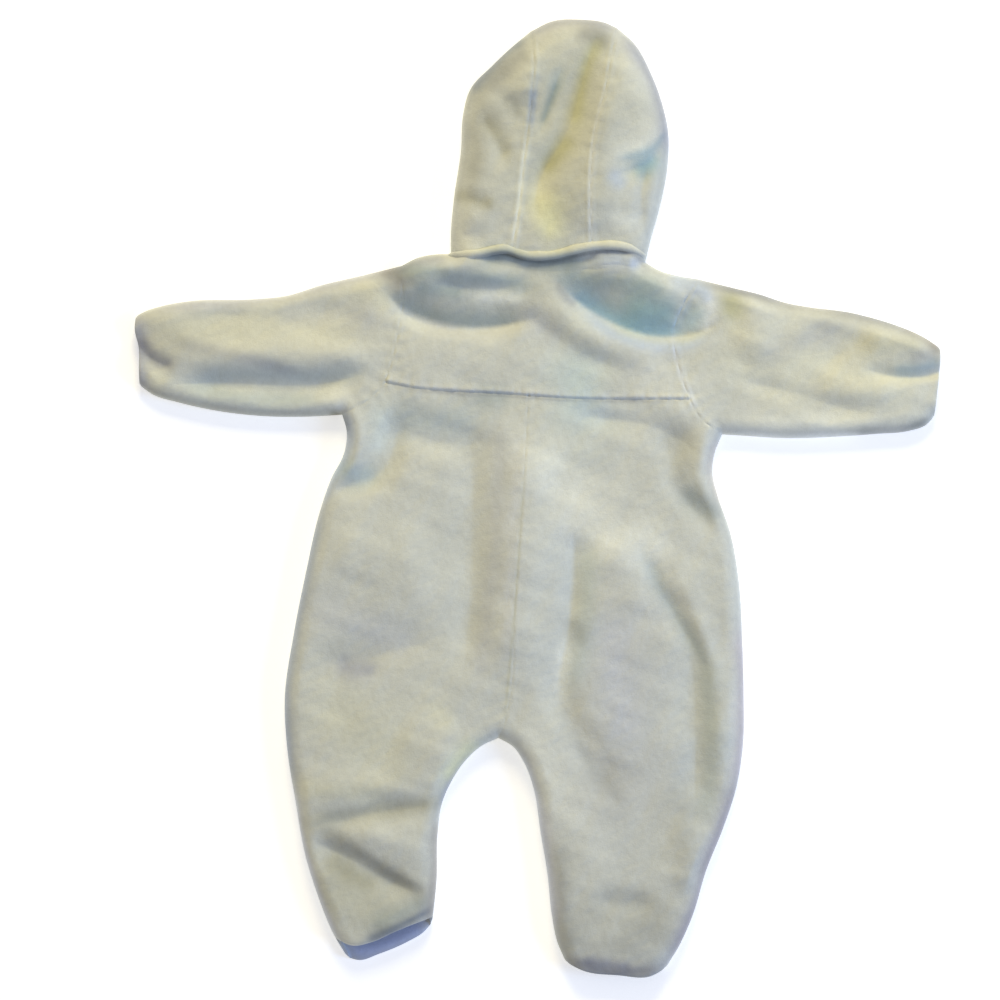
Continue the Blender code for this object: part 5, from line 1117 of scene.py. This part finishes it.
band_edge_left = int(np.argmax(hood_edge_left[:, 1] > BAND_TOP_LEFT_Y))
band_edge_right = int(np.argmax(hood_edge_right[:, 1] > BAND_TOP_RIGHT_Y))
hood_side_left = hood_edge_left[band_edge_left:]
hood_side_right = hood_edge_right[band_edge_right:]
band_top_left = along(smooth([hood_side_left[0], *BAND_TOP_LEFT, HOOD_SEAM_LEFT[0]]),
                      crowd(NECK_SIDE_CELLS, start=True))
band_top_middle = even_out(BAND_TOP_MIDDLE, NECK_MIDDLE_CELLS)
band_top_right = along(smooth([HOOD_SEAM_RIGHT[0], *BAND_TOP_RIGHT, hood_side_right[0]]),
                       crowd(NECK_SIDE_CELLS, end=True))
band_front_left = along(smooth([hood_side_left[0], *BAND_FRONT_LEFT]),
                        crowd(FRONT_NECK_CELLS, start=True))
band_front_right = along(smooth([hood_side_right[0], *BAND_FRONT_RIGHT]),
                         crowd(FRONT_NECK_CELLS, start=True))

lower = chain(front_neck_left[::-1], back_neck, front_neck_right)
upper = chain(band_front_left[::-1], band_top_left, band_top_middle, band_top_right,
              band_front_right)
v = np.linspace(0.0, 1.0, BAND_ROWS + 1)[:, None, None]
grid = (1 - v) * upper[None] + v * lower[None]
fold_columns = [FRONT_NECK_CELLS, FRONT_NECK_CELLS + len(back_neck) - 1]
for column, edge in zip(fold_columns, (hood_edge_left[:band_edge_left + 1],
                                       hood_edge_right[:band_edge_right + 1])):
    grid[:, column] = along(edge[::-1], v[:, 0, 0])
side = -np.ones(grid.shape[:2])
side[:, fold_columns[0]:fold_columns[1]] = 1
side[:, fold_columns] = 0
neckband = sew("neckband_cloth", grid, side,
               [("top", marks(grid.shape[1])), ("bottom", marks(grid.shape[1]))])
dress(neckband, "neckband")


FULL_WIDTH_SHARE = 1.25
SETTLE_ROWS, FOREHEAD_ROWS = 16, 12


def cut_hood_side(name, seam, edge, under_seam, face, forehead, top_run, front_run):
    """Each row runs from the top seam out to the side edge and back under."""
    over_cells = len(top_run) - 1
    cells = over_cells + len(front_run) - 1
    rows = HOOD_ROWS + HOOD_UNDER_ROWS
    seam_points = chain(even_out(seam, HOOD_ROWS),
                        along(smooth(under_seam), crowd(HOOD_UNDER_ROWS)))
    edge_points = along(edge, crowd(HOOD_ROWS, start=True, end=True))
    face_points = along(smooth(face), crowd(rows))
    # Rows have fewer cells on top as the side narrows towards the crown.
    width = np.linalg.norm(seam_points[:HOOD_ROWS] - edge_points[:HOOD_ROWS], axis=1)
    over_at = np.zeros(rows + 1, int)
    for i in range(HOOD_ROWS - 1, -1, -1):
        wanted = round(over_cells * min(1.0, FULL_WIDTH_SHARE * width[i] / width[0]))
        over_at[i] = min(over_at[i + 1] + 1, max(1, wanted))
    grid = np.zeros((rows + 1, cells + 1, 2))
    side = -np.ones((rows + 1, cells + 1))
    for i in range(rows + 1):
        over = over_at[i]
        turn = edge_points[i] if i < HOOD_ROWS else seam_points[i]
        settle = max(0.0, 1 - i / SETTLE_ROWS)
        if over:
            u = crowd(over, True, True)[:, None]
            grid[i, :over + 1] = seam_points[i] + u * (turn - seam_points[i])
            if over == over_cells:
                straight = top_run[0] + u * (top_run[-1] - top_run[0])
                grid[i, :over + 1] += settle * (top_run - straight)
        u = crowd(cells - over, start=over > 0 or i == HOOD_ROWS)[:, None]
        grid[i, over:] = turn + u * (face_points[i] - turn)
        if over == over_cells:
            straight = front_run[0] + u * (front_run[-1] - front_run[0])
            grid[i, over:] += settle * (front_run - straight)
        side[i, :over] = 1
        if i <= HOOD_ROWS:
            side[i, over] = 0
    forehead_run = along(smooth(forehead), crowd(cells))
    chord = along(np.array([forehead_run[0], forehead_run[-1]]), crowd(cells))
    for i in range(rows - FOREHEAD_ROWS + 1, rows + 1):
        blend = ((i - rows + FOREHEAD_ROWS) / FOREHEAD_ROWS) ** 2
        grid[i, 1:-1] += blend * (forehead_run - chord)[1:-1]
    return sew(name, grid, side, [("top", marks(cells + 1)), ("left", marks(rows + 1))])


hood_left = cut_hood_side("hood_left_cloth", HOOD_SEAM_LEFT, hood_side_left,
                          UNDER_SEAM_LEFT, FACE_LEFT,
                          [FOREHEAD_LEFT, (-21, 227), FACE_LEFT[-1]],
                          band_top_left[::-1], band_front_left)
hood_right = cut_hood_side("hood_right_cloth", HOOD_SEAM_RIGHT, hood_side_right,
                           UNDER_SEAM_RIGHT, FACE_RIGHT,
                           [FOREHEAD_RIGHT, (49.5, 231), FACE_RIGHT[-1]],
                           band_top_right, band_front_right)
dress(hood_left, "hood_left")
dress(hood_right, "hood_right")

under = crowd(HOOD_UNDER_ROWS)
crown_run = along(hood_edge_top, crowd(NECK_MIDDLE_CELLS, True, True))
over = patch(band_top_middle, crown_run, even_out(HOOD_SEAM_LEFT, HOOD_ROWS),
             even_out(HOOD_SEAM_RIGHT, HOOD_ROWS))
below = patch(crown_run, even_out(FOREHEAD, NECK_MIDDLE_CELLS),
              along(smooth(UNDER_SEAM_LEFT), under), along(smooth(UNDER_SEAM_RIGHT), under))
grid = np.concatenate([over, below[1:]])
side = np.ones(grid.shape[:2])
side[HOOD_ROWS] = 0
side[HOOD_ROWS + 1:] = -1
hood_centre = sew("hood_middle_cloth", grid, side,
                  [("top", marks(grid.shape[1])), ("left", marks(len(grid))),
                   ("right", marks(len(grid)))])
dress(hood_centre, "hood_centre")

# ---- Rolled hem of the hood ------------------------------------------------------------------
# The hood's lower edge is rolled over the seam with the neckband, like a soft cord of
# fleece, and puckers where it is sewn down.
ROLL_HALF_WIDTH, ROLL_HALF_HEIGHT, ROLL_SUNK, ROLL_LEAST_RISE = 3.7, 2.9, 1.0, 1.0
ROLL_ROUND_END, ROLL_THIN_END, ROLL_THIN_LENGTH = 2.5, 0.6, 18.0
# The roll takes its height from the hood, this far behind its own middle.
BEHIND_ROLL = 3.0
ROLL_CELLS, ROLL_SIDES = 220, 24
line = along(roll_line, crowd(ROLL_CELLS))
run = np.gradient(line, axis=0)
across = np.stack([-run[:, 1], run[:, 0]], axis=1)
across /= np.linalg.norm(across, axis=1)[:, None]
travelled = lengths(line)
swell = 1 + 0.06 * np.sin(travelled / 5.1) + 0.04 * np.sin(travelled / 2.3 + 1)
to_end = np.minimum(travelled, travelled[-1] - travelled)
thin = ROLL_THIN_END + (1 - ROLL_THIN_END) * rise_between(to_end, 0.0, ROLL_THIN_LENGTH)
thickness = swell * thin * np.sqrt(np.clip(to_end / ROLL_ROUND_END, 0.03, 1.0))
gap = away_from_edge(line)[0]
t = np.clip(gap / HOOD_ROUND, 0.0, 1.0)
level = crown_height(line + across * BEHIND_ROLL, np.maximum(gap, FOLD_EDGE_FADE), False)
middle_z = SIDE_EDGE_Z + (level - SIDE_EDGE_Z) * np.sqrt(1 - (1 - t) ** 2)
middle_z -= ROLL_SUNK * (1 - roll_ends(line))
middle_z = np.maximum(middle_z, SIDE_EDGE_Z + ROLL_LEAST_RISE)
rings = []
for k in range(ROLL_SIDES):
    turn = 2 * math.pi * k / ROLL_SIDES
    xy = line + across * (ROLL_HALF_WIDTH * thickness * math.cos(turn))[:, None]
    rings.append(np.column_stack([xy, middle_z + ROLL_HALF_HEIGHT * thickness
                                  * math.sin(turn)]))
points = np.stack(rings, axis=1)
i, j = np.meshgrid(np.arange(ROLL_CELLS), np.arange(ROLL_SIDES), indexing="ij")
k = (j + 1) % ROLL_SIDES
faces = np.stack([i * ROLL_SIDES + j, i * ROLL_SIDES + k, (i + 1) * ROLL_SIDES + k,
                  (i + 1) * ROLL_SIDES + j], axis=-1).reshape(-1, 4).tolist()
faces.append(list(range(ROLL_SIDES))[::-1])
faces.append([ROLL_CELLS * ROLL_SIDES + j for j in range(ROLL_SIDES)])
roll = smooth_mesh("hood_hem_roll", points.reshape(-1, 3), faces)
paint(roll)
roll.data.materials.append(fleece)
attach(roll, "garment")
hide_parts("hood_hem")

# ---- Zip ---------------------------------------------------------------------------------------
# Woven tapes with moulded teeth, closed, and a satin metal slider with its pull tab.
tape, tree, shader = new_material("woven_tape")
weave = tree.nodes.new("ShaderNodeTexWave")
weave.inputs["Scale"].default_value = 420.0
weave.bands_direction = "Y"
coordinates = tree.nodes.new("ShaderNodeTexCoord")
tree.links.new(coordinates.outputs["Object"], weave.inputs["Vector"])
threads = mix_colour(tree, "MIX", weave.outputs["Fac"], (0.50, 0.50, 0.44), (0.66, 0.65, 0.58))
tree.links.new(threads, shader.inputs["Base Color"])
shader.inputs["Roughness"].default_value = 0.85
ribs = tree.nodes.new("ShaderNodeBump")
ribs.inputs["Distance"].default_value = 0.0003
tree.links.new(weave.outputs["Fac"], ribs.inputs["Height"])
tree.links.new(ribs.outputs["Normal"], shader.inputs["Normal"])

metal, tree, shader = new_material("satin_metal")
shader.inputs["Metallic"].default_value = 1.0
scratches = noise(tree, tree.nodes.new("ShaderNodeTexCoord").outputs["Object"], 900.0, 3.0)
satin = math_node(tree, "MULTIPLY_ADD", scratches, 0.2, 0.26)
tree.links.new(satin, shader.inputs["Roughness"])
tone = mix_colour(tree, "MIX", scratches, (0.58, 0.58, 0.56), (0.70, 0.70, 0.68))
tree.links.new(tone, shader.inputs["Base Color"])

for node, finish in (("zip_tape_left", tape), ("zip_tape_right", tape),
                     ("zip_slider", metal), ("zip_pull_tab", metal)):
    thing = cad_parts[node]
    thing.data.materials.clear()
    thing.data.materials.append(finish)

TOOTH_PITCH, TOOTH_WIDTH, TOOTH_LENGTH, TOOTH_HEIGHT = 1.5, 3.0, 1.1, 1.4
# A tooth's four levels: how high, as a share of its height, and how wide there.
TOOTH_LEVELS = [(-0.5, 0.72), (-0.25, 1.0), (0.25, 1.0), (0.5, 0.72)]
SQUARE_CORNERS = [(-1, -1), (1, -1), (1, 1), (-1, 1)]
TOOTH_STAGGER = 0.45
CHAIN_TOP, CHAIN_BOTTOM, CHAIN_Z = 84.6, -220.0, 4.1
points, faces = [], []
for k in range(int((CHAIN_TOP - CHAIN_BOTTOM) / TOOTH_PITCH)):
    middle_x = ZIP_X + (TOOTH_STAGGER if k % 2 else -TOOTH_STAGGER)
    middle_y = CHAIN_TOP - (k + 0.5) * TOOTH_PITCH
    first = len(points)
    for level, narrow in TOOTH_LEVELS:
        for x, y in SQUARE_CORNERS:
            points.append((middle_x + x * TOOTH_WIDTH / 2 * narrow,
                           middle_y + y * TOOTH_LENGTH / 2 * narrow,
                           CHAIN_Z + level * TOOTH_HEIGHT))
    faces.append([first + 3, first + 2, first + 1, first])
    faces.append([first + 12, first + 13, first + 14, first + 15])
    for low in (first, first + 4, first + 8):
        for c in range(4):
            d = (c + 1) % 4
            faces.append([low + c, low + d, low + 4 + d, low + 4 + c])
teeth = smooth_mesh("zip_teeth_row", np.array(points), faces)
plastic, tree, shader = new_material("moulded_teeth")
shader.inputs["Roughness"].default_value = 0.38
speckle = noise(tree, tree.nodes.new("ShaderNodeTexCoord").outputs["Object"], 500.0, 2.0)
tree.links.new(mix_colour(tree, "MIX", speckle, (0.60, 0.59, 0.50), (0.70, 0.69, 0.60)),
               shader.inputs["Base Color"])
teeth.data.materials.append(plastic)
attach(teeth, "garment")
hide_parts("zip_chain")

# ---- Floor, light and camera -------------------------------------------------------------------
# A plain, very pale floor under two large soft lamps and an even sky.
FLOOR_HALF, FLOOR_Z = 3.0, -0.0004
floor_mesh = bpy.data.meshes.new("floor")
floor_mesh.from_pydata([(x * FLOOR_HALF, y * FLOOR_HALF, FLOOR_Z) for x, y in SQUARE_CORNERS],
                       [], [(0, 1, 2, 3)])
floor = place("floor", floor_mesh)
paper, tree, shader = new_material("pale_floor")
shader.inputs["Base Color"].default_value = (0.95, 0.95, 0.95, 1.0)
shader.inputs["Emission Color"].default_value = (1.0, 1.0, 1.0, 1.0)
shader.inputs["Emission Strength"].default_value = 0.4
shader.inputs["Roughness"].default_value = 0.9
shader.inputs["Specular IOR Level"].default_value = 0.0
floor.data.materials.append(paper)

# Columns: name, compass angle in the floor's plane, height angle, distance, size, watts,
# colour.
LAMPS = [
    ("key_soft_box", 93, 29, 3.1, 1.1, 66.0, (1.0, 0.885, 0.54)),
    ("cool_side", -6, 25, 4.5, 1.6, 107.0, (0.34, 0.545, 1.0)),
]
for name, compass, height, distance, size, watts, colour in LAMPS:
    lamp = bpy.data.lights.new(name, "AREA")
    lamp.size = size
    lamp.energy = watts
    lamp.color = colour
    holder = place(name, lamp)
    turn, lift_angle = math.radians(compass), math.radians(height)
    outwards = distance * math.cos(lift_angle)
    holder.location = (outwards * math.cos(turn), outwards * math.sin(turn),
                       distance * math.sin(lift_angle))
    holder.rotation_mode = "QUATERNION"
    holder.rotation_quaternion = holder.location.to_track_quat("Z", "Y")
sky = bpy.data.worlds.new("soft_room")
sky.use_nodes = True
sky.node_tree.nodes["Background"].inputs["Color"].default_value = (1.0, 0.98, 0.985, 1.0)
sky.node_tree.nodes["Background"].inputs["Strength"].default_value = 0.42
bpy.context.scene.world = sky
bpy.context.scene.view_settings.view_transform = "Standard"

CAMERA_X, CAMERA_Y, CAMERA_HEIGHT = -0.0225, -0.0067, 3.2
VIEW_WIDTH, SUIT_MIDDLE_Z, SENSOR_WIDTH = 0.8, 0.012, 36.0
SUIT_TURN = 3.53
camera_data = bpy.data.cameras.new("camera")
camera_data.sensor_width = SENSOR_WIDTH
camera_data.lens = SENSOR_WIDTH * (CAMERA_HEIGHT - SUIT_MIDDLE_Z) / VIEW_WIDTH
camera = place("camera", camera_data)
camera.location = (CAMERA_X, CAMERA_Y, CAMERA_HEIGHT)
camera.rotation_euler = (0.0, 0.0, math.radians(SUIT_TURN))
bpy.context.scene.camera = camera
